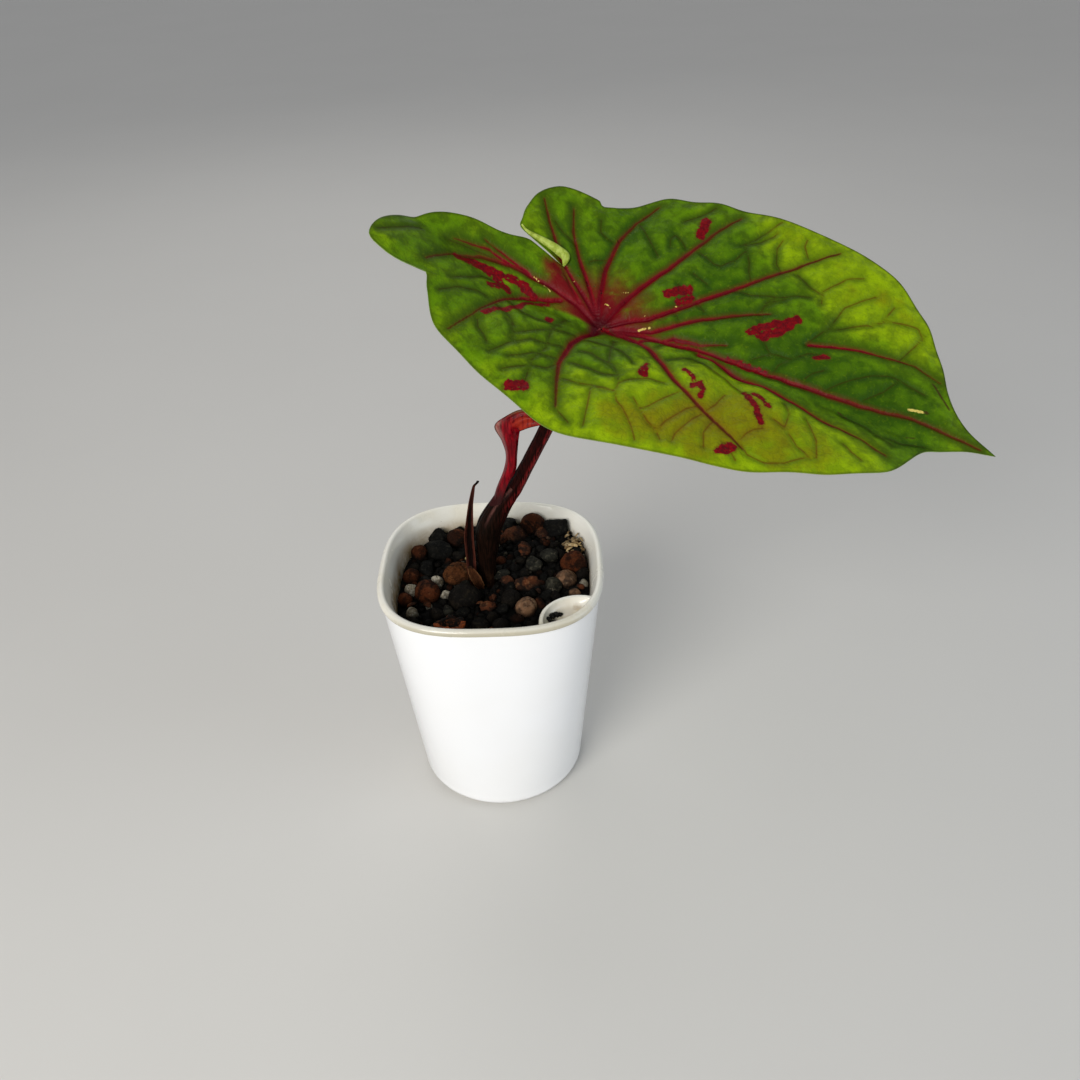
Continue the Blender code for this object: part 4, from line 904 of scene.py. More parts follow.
huskShape = {
    # x, y, z, half width and depth of the fold
    "bract": ((-8.6, 4.6, 100.0, 1.5, 1.0), (-9.2, 4.4, 107.0, 1.9, 1.3), (-9.4, 4.6, 116.0, 2.1, 1.6),
              (-9.3, 4.2, 127.0, 2.1, 1.6), (-8.6, 3.6, 136.0, 1.6, 1.2), (-7.4, 2.8, 145.0, 1.1, 0.8),
              (-5.9, 2.2, 153.0, 0.7, 0.5), (-4.7, 2.0, 158.5, 0.45, 0.2)),
    "scale": ((-5.8, 2.2, 100.0, 1.8, 0.8), (-6.6, 1.0, 105.0, 2.5, 1.2), (-8.0, 0.2, 110.0, 2.2, 1.4),
              (-9.8, -0.2, 114.5, 1.0, 0.8)),
    "thickness": 0.5, "columns": 27, "stalkGap": 0.65,
    # two streaks, blotches, rim and tip
    "bractColours": ((42, 18, 13), (72, 33, 25), (28, 12, 9), (92, 50, 38), (9, 6, 5)),
    "scaleColours": ((66, 38, 22), (92, 56, 34), (42, 24, 16), (112, 76, 48), (48, 30, 20)),
    # the painted shade in the fold's middle
    "gutterShade": (12, 7, 6),
}


def stalkStations(count):
    # x, y, z and radius at even steps along the stalk
    return smoothLine(stalkShape["line"], count)


def pushClear(points, gap):
    # moves points straight away from the stalk's middle line until they are the gap from its skin
    stations = stalkStations(60)
    best = np.full(points.shape[:-1], 1e9)
    foot, reach = np.zeros(points.shape), np.zeros(points.shape[:-1])
    for start, end in zip(stations[:-1], stations[1:]):
        way = end[:3] - start[:3]
        t = np.clip((points - start[:3]) @ way / (way @ way), 0, 1)
        spot = start[:3] + t[..., None] * way
        radius = start[3] * (1 - t) + end[3] * t
        space = np.linalg.norm(points - spot, axis=-1) - radius
        closer = space < best
        best = np.where(closer, space, best)
        foot = np.where(closer[..., None], spot, foot)
        reach = np.where(closer, radius, reach)
    pushed = foot + unit(points - foot) * (reach + gap)[..., None]
    return np.where((best < gap)[..., None], pushed, points)


def stalkSkin():
    # rings of a tube along the line; the radius has low ridges, and below the neck a sheath whose free
    # edge climbs the front as a small step; the last rings open out to meet the blade
    shape, hub, leafBasis = stalkShape, np.array(leafShape["hub"]), leafAxes()
    stations = stalkStations(shape["rows"])
    ahead = unit(np.gradient(stations[:, :3], axis=0))
    across = unit(np.cross(ahead, np.array([0.0, 1.0, 0.0])))
    up = unit(np.cross(across, ahead))
    turn, height = turns(shape["sides"]), stations[:, 2:3]
    lower = 1 - smoothStep(height, 140, 156)
    ridges = shape["ridge"] * np.cos(9 * turn + 0.6 * np.sin(height / 17)) * (1 - 0.6 * lower)
    ridges = ridges + shape["fineRidge"] * np.cos(17 * turn + height / 23)
    ridges = ridges + shape["lump"] * lower * np.cos(3 * turn + 1.2 + height / 19)
    lean = 1.3 - 0.3 * smoothStep(height, 104, 150)  # where the sheath's edge is round the stalk
    behind = np.mod(turn - lean + np.pi, 2 * np.pi) - np.pi
    sheath = (smoothStep(behind, -0.09, 0.05) - smoothStep(behind, 0.3, 2.4)) * lower
    radius = stations[:, 3:4] * (1 + ridges) + shape["sheathStep"] * sheath - shape["sheathLoss"] * lower
    spots = np.stack([np.cos(turn) * 3 + 0 * height, np.sin(turn) * 3 + 0 * height, height + 0 * turn], 2)
    radius = radius + shape["rough"] * (softNoise(spots, 2.6, 6) - 0.5)
    offset = np.cos(turn)[None, :, None] * across[:, None] - np.sin(turn)[None, :, None] * up[:, None]
    grid = stations[:, None, :3] + offset * radius[..., None]

    meets = leafShape["stalkMeets"]
    centre = hub + np.array([*meets, 0]) @ leafBasis
    ring = offset[-1] * shape["collar"]
    flat = ring @ leafBasis[:2].T
    collar = []
    for share, grow, drop in shape["collarRings"]:
        u, v = meets[0] + flat[:, 0] * grow, meets[1] + flat[:, 1] * grow
        w = leafHeight(u, v) - leafShape["thickness"] - drop * 0.6
        goal = np.stack([u, v, w], 1) @ leafBasis + hub
        tube = ring * grow + centre - leafBasis[2] * (2.5 + drop)
        collar.append(goal if share > 0.9 else goal * share + tube * (1 - share))
    grid = np.concatenate([grid, np.stack(collar)])
    marks = {
        "sheathGap": np.concatenate([np.where(lower > 0.15, np.abs(behind) * radius, shape["noEdge"]),
                                     np.full((len(collar), len(turn)), shape["noEdge"])]),
        "around": np.broadcast_to(turn, grid.shape[:2]),
        "along": np.broadcast_to(np.linspace(0, 1, len(grid))[:, None], grid.shape[:2]),
    }
    return loftSkin(grid), {key: np.append(value.ravel(), [value[0, 0], value[-1, 0]]) for key, value in marks.items()}


def stalkMaterial():
    # a dark trunk and a maroon petiole, red ridges on the right side, a pale line by the sheath's free edge
    material, tree, shader = newMaterial("stalkSkin", 0.45, Specular_IOR_Level=0.03)
    tint, where, along = stalkColours, place(tree), number(tree, "along")
    drawn = stretched(where, 0.045, tint["streakLean"])
    streak, broad = noise(drawn, 1500, 3, 0.6), noise(drawn, 520, 2, 0.5)
    upper = fade(along, 0.34, 0.56)
    trunk = blend(fade(streak, 0.35, 0.75), *tint["trunk"])
    petiole = coats(tint["petiole"][0], (fade(streak, 0.35, 0.7), tint["petiole"][1]),
                    (fade(broad, 0.56, 0.7, 0, 0.7), tint["petiole"][2]))
    right = fade(calc("COSINE", number(tree, "around") + stalkShape["redSide"]), 0.6, 0.97)
    pale = fade(number(tree, "sheathGap"), 1.1, 0.15) * fade(streak, 0.3, 0.6, 0.35, 1)
    body = coats(trunk, (upper, petiole), (right * upper * fade(streak, 0.42, 0.58), tint["redRidge"]),
                 (pale * fade(along, 0.33, 0.40) * 0.6, tint["sheathEdge"]),
                 (fade(along, 0.16, 0.06) * fade(noise(where, 420, 4), 0.4, 0.65), tint["foot"]))
    join(shader, Base_Color=body, Roughness=fade(streak, 0.3, 0.75, 0.3, 0.55))
    bump(shader, streak + broad * 0.6, 0.5, 0.35)
    return material


def sheetNormals(grid):
    return unit(np.cross(np.gradient(grid, axis=1), np.gradient(grid, axis=0)))


def sheetSkin(grid, thickness):
    # a thin closed blade: half the thickness to each side of the grid along its normals, joined round its border
    rows, columns = grid.shape[:2]
    half = sheetNormals(grid) * np.broadcast_to(thickness, (rows, columns))[..., None] / 2
    points = np.vstack([(grid + half).reshape(-1, 3), (grid - half).reshape(-1, 3)])
    count = rows * columns
    a = (np.arange(rows - 1)[:, None] * columns + np.arange(columns - 1)).ravel()
    faceQuads = np.stack([a, a + 1, a + columns + 1, a + columns], 1)
    border = np.concatenate([np.arange(columns), np.arange(1, rows) * columns + columns - 1,
                             (rows - 1) * columns + np.arange(columns - 2, -1, -1),
                             np.arange(rows - 2, 0, -1) * columns])
    after = np.roll(border, -1)
    sides = np.stack([border, border + count, after + count, after], 1)
    return points, np.vstack([faceQuads, count + faceQuads[:, ::-1], sides]), np.zeros((0, 3), int)


def sheetMarks(rows, columns):
    # how far each point is along the sheet and across it, both from 0 to 1
    along, across = np.meshgrid(np.linspace(0, 1, rows), np.linspace(0, 1, columns), indexing="ij")
    return {"along": np.tile(along.ravel(), 2), "across": np.tile(across.ravel(), 2)}


def youngLeafMaterial():
    # crimson streaks, orange on the folded top, a pale pink painted highlight at its left corner, olive behind it, a
    # dark rim and foot
    material, tree, shader = newMaterial("youngLeafSkin", 0.4, Specular_IOR_Level=0.1)
    tint = youngShape
    where, across, along = place(tree), number(tree, "across"), number(tree, "along")
    streak, cloud = noise(stretched(where, 0.12), 900, 3, 0.6), noise(where, 300, 4, 0.6, 0.4)
    orange = fade(along, 0.6, 0.8) * fade(across, 0.25, 0.6)
    # painted highlight: pale pink in clouds on the left corner
    pinkHighlight = fade(along, 0.46, 0.58) * fade(along, 0.76, 0.66) * fade(across, 0.36, 0.05)
    olive = fade(along, 0.72, 0.84) * fade(across, 0.3, 0.05)
    body = coats(tint["skin"][0], (fade(streak, 0.35, 0.7), tint["skin"][1]),
                 (orange * fade(streak, 0.3, 0.62), tint["top"]), (pinkHighlight * fade(cloud, 0.3, 0.58), tint["corner"]),
                 (olive * 0.8, tint["behind"]), (fade(rimGap(across), 0.05, 0.015, 0, 0.8), tint["rim"]),
                 (fade(along, 0.2, 0.02), tint["foot"]))
    join(shader, Base_Color=body, Roughness=fade(streak, 0.3, 0.7, 0.22, 0.42))
    bump(shader, streak, 0.4, 0.3)
    return material


def makeYoungLeaf():
    # a smooth sheet through the rows of points, with a low wave along its normals that grows towards the top
    rows, columns = youngShape["grid"]
    data = smoothLine(np.array(youngShape["rows"]), rows)
    grid = np.swapaxes(smoothLine(np.swapaxes(data, 0, 1), columns), 0, 1)
    share = np.linspace(0, 1, columns)
    along = np.linspace(0, 1, rows)[:, None]
    wave = youngShape["wave"] * np.sin(share * 17 + along * 5) * smoothStep(along, 0.3, 0.7)
    grid = pushClear(grid + sheetNormals(grid) * wave[..., None], youngShape["stalkGap"])
    thickness = youngShape["thickness"] * (0.45 + 0.55 * smoothStep(np.minimum(share, 1 - share), 0, 0.12))
    makePiece("youngLeaf", sheetSkin(grid, thickness), [youngLeafMaterial()], ["young_leaf"],
              sharp=60, extra=sheetMarks(rows, columns))


def huskMaterial(name, colours, dark):
    # streaks of two colours with blotches of a third, painted shade down the gutter inside the paler rim, and the tip's
    # own colour
    material, tree, shader = newMaterial(name + "Skin", 0.65, Specular_IOR_Level=0.06)
    where, across, along = place(tree), number(tree, "across"), number(tree, "along")
    streak, blotchy = noise(stretched(where, 0.08), 1300, 4, 0.65), noise(where, 330, 4, 0.6)
    rim = rimGap(across)
    # painted shade in the fold's channel, kept off the rim and the tip
    gutterShade = fade(rim + (blotchy - 0.5) * 0.25, 0.17, 0.26) * fade(along, 0.84, 0.66)
    body = coats(colours[0], (fade(streak, 0.34, 0.68), colours[1]), (fade(blotchy, 0.55, 0.72, 0, 0.7), colours[2]),
                 (gutterShade * dark, huskShape["gutterShade"]), (fade(rim, 0.09, 0.01, 0, 0.75), colours[3]),
                 (fade(along, 0.9, 0.97), colours[4]))
    join(shader, Base_Color=body, Roughness=fade(streak, 0.3, 0.7, 0.45, 0.75))
    bump(shader, streak, 0.6, 0.35)
    return material


def makeHusk(name, line, rows, node, colours, hook, dark):
    # a narrow leaf folded along its middle: each row is a parabola across, with ribs and a little curl at its
    # edges; the hook bends its tip aside, and dark is how black the painted shade in its gutter is
    x, y, z, half, fold = smoothLine(line, rows).T[:, :, None]
    share = np.linspace(-1, 1, huskShape["columns"])
    along = np.linspace(0, 1, rows)[:, None]
    ribs = 0.10 * np.cos(share * 15) * half / 2.5
    tip = smoothStep(along, 0.9, 1.0) * hook
    curl = 0.35 * np.abs(share) ** 4 * np.sin(along * 9 + share) + 0.12 * np.sin(along * 37 + 5 * share) * np.abs(share)
    px = x + half * share * (1 + 0.04 * np.sin(along * 21 + 2 * share)) + tip * 1.3
    py = y - fold * share**2 + 0.5 * fold + ribs + curl - tip * 0.3
    grid = pushClear(np.stack([px, py, z + 0 * share - 0.4 * tip], 2), huskShape["stalkGap"])
    thickness = huskShape["thickness"] * (0.4 + 0.6 * smoothStep(1 - np.abs(share), 0, 0.2))
    makePiece(name, sheetSkin(grid, thickness), [huskMaterial(name, colours, dark)], [node], sharp=60,
              extra=sheetMarks(rows, huskShape["columns"]))


def makeShoots():
    skin, marks = stalkSkin()
    makePiece("leafStalk", skin, [stalkMaterial()], ["leaf_stalk"], extra=marks)
    makeYoungLeaf()
    makeHusk("bractLeaf", huskShape["bract"], 120, "bract", huskShape["bractColours"], 1.0, 0.95)
    makeHusk("driedScale", huskShape["scale"], 50, "dried_scale", huskShape["scaleColours"], 0.0, 0.3)


# the large leaf

leafShape = {
    "hub": (47.3, 0.0, 226.8),  # the blade's plane where u and v are 0
    "stalkMeets": (0.0, 4.0),
    "bearing": -20.0, "dip": 13.0, "roll": 16.0,  # degrees
    "thickness": 0.55, "curlThickness": 0.45, "uvScale": 0.01,
    "pole": (20.0, 14.0), "rings": 100, "spokes": 480,
    "curl": ((-43.6, 25.8), (-41.5, 24.7), (-39.0, 24.1), (-35.0, 23.8), (-31.0, 23.5), (-27.0, 23.1), (-24.0, 22.2),
             (-22.6, 20.4)),
    "brows": ((3.2, (6.0, 20.0), (46.0, 58.0)), (2.4, (59.0, 68.0), (78.0, 92.0))),
    "browTop": 5.0, "browWidth": 5.5,
    # from the slit's end round the near lobe, the tip and the far lobe, and back
    "outline": (
        (-23, 20.3), (-30, 21.25), (-38.4, 22.2), (-47, 18.8), (-62, 14), (-75, 4), (-83, -14), (-83, -26), (-77, -28),
        (-70, -27), (-62.2, -23.3), (-58, -30), (-49, -42), (-33, -48), (-13, -55), (6, -60), (29, -57),
        (52, -53), (75, -48), (101, -36), (119, -25), (131, -5), (143, 3), (156, 7), (143, 13),
        (133, 23), (125, 39), (110, 58), (89, 71), (64, 75), (34, 75), (6, 69), (-10, 57.4), (-15.5, 54.4), (-19, 53),
        (-21.2, 54.9), (-29, 54.4), (-37.6, 51.4), (-43.8, 44), (-45.3, 35), (-44.6, 29), (-43.6, 24.9), (-37, 23.5),
        (-30, 22.2),
    ),
}
leafRelief = {
    # heights in millimetres over the blade's plane and how soon each is reached
    "nearBulge": 6.0, "farBulge": 3.0, "bulgeReach": 10, "nearSlope": 0.04, "nearDroop": 0.0012, "farSlope": 0.2,
    "tipFrom": 60, "tipDroop": 0.0006, "lobeLift": 0.004,
    "valley": 2.6, "valleyReach": 45, "valleyStart": 1.2, "valleyWidth": 6.5, "valleyPower": 1.3,
    "hubDip": 1.2, "hubSpread": 60, "browFade": 22,
    "puff": 0.75, "puffWidth": 2.2, "unevenPuff": 0.7, "unevenSize": 4.5, "groove": 0.28, "wave": 0.6, "waves": 17,
}
# main veins, their half width at the start and how far along their red lasts
mainVeins = (
    (((0, 4), (21, 4), (40, 6), (68, 5), (92, 5), (109, 6), (124, 8), (150, 7)), 1.5, 0.95),
    (((41, 4), (61, -1), (79, -8), (91, -11), (107, -14), (117, -18)), 1.05, 0.75),
    (((3, 4), (11, 2), (23, -5), (36, -18), (48, -27), (60, -34), (69, -40)), 1.5, 0.85),
    (((0, 4), (-5, -15), (-5, -29), (-2, -39), (2, -50)), 1.35, 0.7),
    (((0, 4), (-11, 8), (-25, 10), (-40, 9), (-52, 5), (-60, -2), (-65, -17)), 1.3, 0.7),
    (((-18, 7), (-32, 0), (-37, -12), (-40, -22), (-45, -40)), 0.8, 0.6),
    (((-4, 8), (-14, 15), (-24, 22), (-35, 35), (-41, 43)), 1.0, 0.85),
    (((0, 4), (-10, 17), (-18, 26), (-25, 36), (-29, 46)), 1.0, 0.8),
    (((0, 4), (-4, 13), (-7, 27), (-7, 41), (-4, 52), (2, 63)), 1.3, 0.8),
    (((0, 4), (9, 24), (16, 36), (23, 50), (29, 62), (35, 71)), 1.3, 0.8),
    (((0, 4), (17, 12), (39, 32), (51, 44), (63, 55), (77, 69)), 1.3, 0.85),
    (((4, 4), (20, 7), (34, 17), (50, 26), (60, 30)), 1.2, 0.9), (((78, 23), (97, 28), (118, 30), (129, 26)), 0.5, 0.6),
)
# red veins that the blade isn't sunk along
sideVeins = (
    (((-40, 9), (-50, 9), (-63, 4)), 0.6, 0.9), (((-33, 10), (-44, 11), (-53, 11)), 0.55, 0.9),
    (((18, 0), (29, 7), (40, 8), (49, 11)), 0.9, 0.95), (((-21, 5), (-26, 3), (-32, 0)), 0.6, 0.9),
    (((-11, 9), (-17, 14), (-22, 19)), 0.7, 0.9),
)
netVeins = (
    ((-82, -22), (-78, -14), (-73, -4)), ((-65, 2), (-59, 4), (-53, 6), (-45, 8)),
    ((-54, -17), (-50, -11), (-47, -4), (-44, -2)), ((-55, -27), (-51, -20), (-45, -15), (-41, -14)),
    ((-29, -39), (-26, -34), (-23, -29), (-18, -24), (-12, -22), (-7, -19)),
    ((-39, -27), (-37, -31), (-34, -33), (-31, -36)), ((-30, -20), (-27, -22), (-25, -26), (-24, -29)),
    ((-22, -44), (-18, -40), (-13, -36), (-8, -34), (-5, -29)), ((-25, -25), (-19, -19), (-13, -13), (-6, -9)),
    ((-22, -37), (-15, -30), (-7, -27)), ((-1, -36), (4, -36), (10, -35), (14, -36), (19, -35)),
    ((3, -51), (6, -53), (9, -55)), ((-17, 46), (-15, 41), (-12, 40), (-9, 40)),
    ((19, 48), (17, 50), (13, 52), (12, 49), (13, 46)), ((25, 48), (32, 44), (35, 44), (39, 49), (42, 55), (41, 58)),
    ((41, 58), (46, 61), (50, 66), (51, 69)), ((48, 43), (46, 46), (45, 50), (42, 55)),
    ((58, 51), (55, 54), (53, 61), (54, 66)), ((33, 34), (30, 35), (26, 37)), ((57, 28), (57, 32), (60, 36), (64, 39)),
    ((0, -19), (4, -19), (9, -21), (13, -22), (17, -26), (19, -31), (19, -35)), ((25, -1), (30, 6), (37, 7), (42, 7)),
    ((39, 57), (44, 62), (48, 69), (51, 74)), ((66, 61), (63, 66), (63, 70)),
    ((77, 42), (76, 48), (79, 52), (83, 57), (89, 60)), ((64, 52), (70, 48), (76, 46)),
    ((56, 29), (57, 34), (60, 38), (66, 41), (72, 43)), ((77, 23), (80, 28), (83, 32), (88, 34), (94, 38), (98, 40)),
    ((98, 41), (103, 44), (109, 46), (115, 46), (118, 42)), ((69, 6), (70, 10), (74, 14), (79, 19), (84, 20)),
    ((90, 7), (94, 11), (99, 15), (105, 19), (110, 21), (114, 21), (119, 20), (125, 19)), ((81, 8), (83, 11), (87, 14)),
    ((77, -11), (80, -16)), ((82, -26), (86, -30), (92, -33)), ((101, -20), (105, -23), (109, -25)),
    ((67, -37), (71, -42), (78, -43), (84, -40), (90, -34)), ((19, -30), (21, -28), (24, -26), (28, -23), (34, -22)),
    ((19, -35), (21, -39), (24, -41), (27, -44), (30, -48), (33, -53)), ((19, -35), (14, -35), (9, -35), (6, -36)),
    ((26, -35), (30, -39), (34, -43), (38, -45), (41, -49)), ((30, -39), (33, -35), (35, -32), (38, -27), (40, -24)),
    ((39, -44), (40, -40), (43, -35), (45, -31), (48, -28)), ((45, -48), (45, -44), (47, -39), (49, -34), (51, -30)),
    ((56, -45), (54, -39), (55, -34), (56, -31)), ((52, -28), (54, -24), (55, -20), (56, -17)),
    ((67, -36), (68, -33), (70, -30), (73, -28)),
    ((31, -8), (34, -6), (39, -2), (44, -3), (48, -6), (53, -7), (58, -10), (61, -12)),
    ((75, -22), (80, -24), (80, -20), (80, -16)), ((-12, -2), (-14, -14), (-12, -24), (-14, -34), (-12, -46)),
    ((9, -6), (10, -14), (12, -22)), ((10, -35), (12, -44), (14, -54)), ((-1, -27), (6, -27), (12, -28), (17, -27)),
    ((0, -10), (7, -11), (14, -13), (20, -18)), ((-34, -8), (-27, -12), (-20, -12), (-12, -9)),
    ((-36, -14), (-30, -18), (-26, -22)), ((83, 32), (86, 44), (96, 54)), ((101, 42), (104, 52)),
    ((112, 30), (116, 38), (118, 44)), ((10, 40), (4, 46), (-2, 52)), ((14, 60), (20, 66), (24, 71)),
    ((22, 30), (30, 27), (36, 22)), ((66, 12), (60, 19), (57, 26)), ((44, 36), (52, 36), (60, 38)),
    ((-22, 32), (-28, 33), (-34, 37)), ((-14, 27), (-8, 31), (-7, 34)), ((62, -40), (68, -46)),
    ((86, -14), (92, -24), (94, -32)), ((104, 8), (110, 14), (114, 20)), ((98, -2), (108, -5), (118, -10)),
    ((112, -8), (122, -6), (130, -2)), ((60, 9), (66, 13), (74, 14)), ((28, 15), (24, 20), (27, 27)),
)
# red blotches: the line of each and its half width
blotches = (
    (((-58, -3), (-55, -1.2), (-51, 0.3), (-47, 1)), 1.7),
    (((-47, 1), (-42, 2.4), (-38, 3.7), (-33.5, 4), (-28, 3)), 1.2), (((-42.5, -7), (-37.6, -1.5)), 1.1),
    (((-43, 1.3), (-40, -2.3), (-37, -2.2)), 1.3),
    (((-38, -22.6), (-35.7, -18), (-32, -15), (-29, -8.3), (-26.7, -1), (-22, 2)), 0.95),
    (((-17, -9), (-16.4, -8.4)), 1.0), (((-16, -49.7), (-13.7, -48.4), (-12, -46.8)), 1.9),
    (((24.4, -22.6), (24.7, -17.3)), 0.8), (((24.7, -17.3), (26.2, -22.2)), 0.8),
    (((38.5, -12.5), (41, -13.3), (43.2, -15.3)), 0.75),
    (((43.7, -19.5), (45.6, -17.1), (48, -19.8), (47.9, -23)), 0.85), (((22.2, 63), (22.4, 60), (22.2, 56)), 1.6),
    (((20, 24), (23, 26.8), (26.7, 28.9)), 1.5), (((25, 22.9), (29, 25.5)), 1.1),
    (((55.5, 18.6), (59, 22.5), (63.8, 25.3), (71, 30.8)), 1.25), (((60.2, 18.9), (65, 21.7), (68.8, 27.2)), 1.5),
    (((82, 17), (84.2, 19.3), (86.6, 19.3)), 0.8), (((62, -12.8), (65.3, -17), (68.8, -20.8), (71.4, -26.5)), 1.0),
    (((66, -12.7), (69.6, -14.7), (72.4, -17)), 0.8), (((61, -45.2), (62.8, -41.4), (66, -40.5)), 0.9),
    (((61, -45.2), (64.2, -44.8), (66, -40.5)), 0.8), (((2, 3.6), (5.4, 2.3)), 1.0),
    (((51.6, 5.7), (58.4, 5.5), (66.6, 5)), 0.9),
)
flecks = (
    (((3.2, 18.5), (5.1, 20)), 0.35), (((24.6, 20.9), (25.2, 21)), 0.3), (((14.6, 6.5), (19.4, 8.9)), 0.45),
    (((50.5, 40.5), (51, 40.6)), 0.35), (((-31.2, 10.4), (-28.7, 9.8)), 0.35), (((-26.1, 8.9), (-22.5, 7.3)), 0.35),
    (((-16.5, 16.8), (-16, 17.2)), 0.3), (((-1.6, 12.4), (0.9, 11.6)), 0.25), (((15, 12.7), (15.4, 12.9)), 0.3),
    (((71, 43), (71.3, 43)), 0.35), (((82.2, 42.5), (82.5, 42.5)), 0.4), (((120.5, 10.3), (126.4, 11.6)), 0.75),
)
brownMarks = (
    (((126.5, 11.7), (127.8, 11.9)), 0.45), (((126, 24.5), (130.2, 21.2), (135.2, 17.2), (136.2, 20.8)), 0.25),
    (((96.5, -0.2), (100.4, -2.2)), 0.25), (((123, -0.6), (126, 0.6)), 0.15),
)
# u, v, reach and amount of yellow; below zero is deeper green
toneSpots = (
    (48, -36, 30, 0.78), (78, -30, 26, 0.62), (22, -46, 22, 0.5), (104, -24, 20, 0.45), (62, -22, 12, 0.45),
    (112, 50, 16, 0.5), (92, 60, 18, 0.55), (64, 68, 16, 0.5), (48, 66, 12, 0.4), (86, 46, 14, 0.4),
    (-10, -36, 24, 0.15), (118, 28, 14, 0.35), (15, 62, 9, 0.3), (40, 46, 22, -0.25), (20, 58, 20, -0.2),
    (34, 30, 14, -0.4), (72, 14, 18, -0.9), (100, 4, 18, -0.75), (114, 16, 14, -0.5), (-2, 50, 16, -0.3),
    (-66, -8, 22, -0.1), (46, 12, 12, -0.35), (126, 4, 14, -0.25), (10, -14, 22, -0.35), (-12, 30, 20, -0.25),
    (122, -8, 12, -0.3),
)

# screen colours; of two, the material blends the first into the second
leafColours = {
    "greens": ((40, 72, 1), (60, 84, 1), (106, 132, 1), (118, 104, 2)),  # from the deepest green to yellow
    # puffs: lighter greens on the puffs, partly their own colour and partly painted light
    "puffs": ((92, 132, 1), (140, 170, 2), (124, 130, 2)),
    "mottleDark": (48, 68, 1), "mottleLight": (126, 150, 3), "fineNet": (44, 62, 1),
    "netShade": ((50, 64, 1), (98, 72, 2)), "netLine": ((50, 44, 3), (88, 46, 5)),
    "halo": (96, 38, 5), "flush": (104, 12, 16), "veinEnd": (88, 40, 6), "vein": ((104, 5, 20), (124, 6, 20)),
    "veinMiddle": ((66, 34, 6), (88, 3, 17)), "hub": (66, 3, 12),
    "blotchRim": (78, 44, 4), "blotch": ((124, 4, 14), (86, 4, 14)),
    "fleck": (206, 186, 96), "dry": (56, 36, 10), "edge": (48, 58, 2),
}
underColours = {
    "greens": ((104, 134, 58), (134, 156, 72)), "yellow": (164, 164, 70), "fineNet": (84, 108, 46),
    "net": (86, 96, 42), "vein": ((112, 100, 52), (104, 40, 40)), "hub": (112, 34, 40), "blotch": (140, 62, 58),
}
curlColours = {"pale": ((142, 160, 50), (176, 192, 92)), "rim": (84, 104, 12), "speck": (104, 120, 30)}


def leafAxes():
    # rows: along the midrib, across to the far side, and up through the upper face
    bearing, dip, roll = (math.radians(leafShape[key]) for key in ("bearing", "dip", "roll"))
    level = np.array([math.cos(bearing), math.sin(bearing), 0.0])
    side = np.array([-math.sin(bearing), math.cos(bearing), 0.0])
    up = np.array([0.0, 0.0, 1.0])
    along = level * math.cos(dip) - up * math.sin(dip)
    across = side * math.cos(roll) + np.cross(along, side) * math.sin(roll)
    return np.stack([along, across, np.cross(along, across)])


def toLines(u, v, lines):
    # for each point the distance to the nearest line, which side of it, how far along, that line's number, and
    # how sure the side is: 0 past a line's end and midway between two lines
    gap, side, second = (np.full(u.shape, 1e9) for _ in range(3))
    along, index = np.zeros(u.shape), np.zeros(u.shape, int)
    for which, line in enumerate(lines):
        points = np.array(line, float)
        steps = len(points) - 1
        ownGap, ownSide, ownAlong = np.full(u.shape, 1e9), np.full(u.shape, 1e9), np.zeros(u.shape)
        for step in range(steps):
            start, way = points[step], points[step + 1] - points[step]
            t = np.clip(((u - start[0]) * way[0] + (v - start[1]) * way[1]) / (way @ way), 0, 1)
            du, dv = u - start[0] - t * way[0], v - start[1] - t * way[1]
            reach = np.hypot(du, dv)
            closer = reach < ownGap
            ownGap = np.where(closer, reach, ownGap)
            ownSide = np.where(closer, reach * np.where(way[0] * dv - way[1] * du < 0, -1.0, 1.0), ownSide)
            ownAlong = np.where(closer, (step + t) / steps, ownAlong)
        closer = ownGap < gap
        second = np.where(closer, gap, np.minimum(second, ownGap))
        gap, side = np.where(closer, ownGap, gap), np.where(closer, ownSide, side)
        along, index = np.where(closer, ownAlong, along), np.where(closer, which, index)
    sure = smoothStep(second - gap, 1.2, 2.8) * ((along > 0) & (along < 1))
    return gap, side, along, index, sure


def capsules(u, v, shapes, swell=1.0):
    # signed distance to the union of thick lines, below zero inside
    best = np.full(u.shape, 1e9)
    for line, half in shapes:
        best = np.minimum(best, toLines(u, v, [line])[0] - half * swell)
    return best


def browHeight(u, v):
    # the raised fold over the midrib: each brow rises and falls along u, and fades away from the midrib on one side
    height = 0.0
    for lift, rises, falls in leafShape["brows"]:
        height = height + lift * smoothStep(u, *rises) * (1 - smoothStep(u, *falls))
    top, width = leafShape["browTop"], leafShape["browWidth"]
    return height * smoothStep(-v, -top, width - top) * np.exp(np.minimum(v, 0) / leafRelief["browFade"])


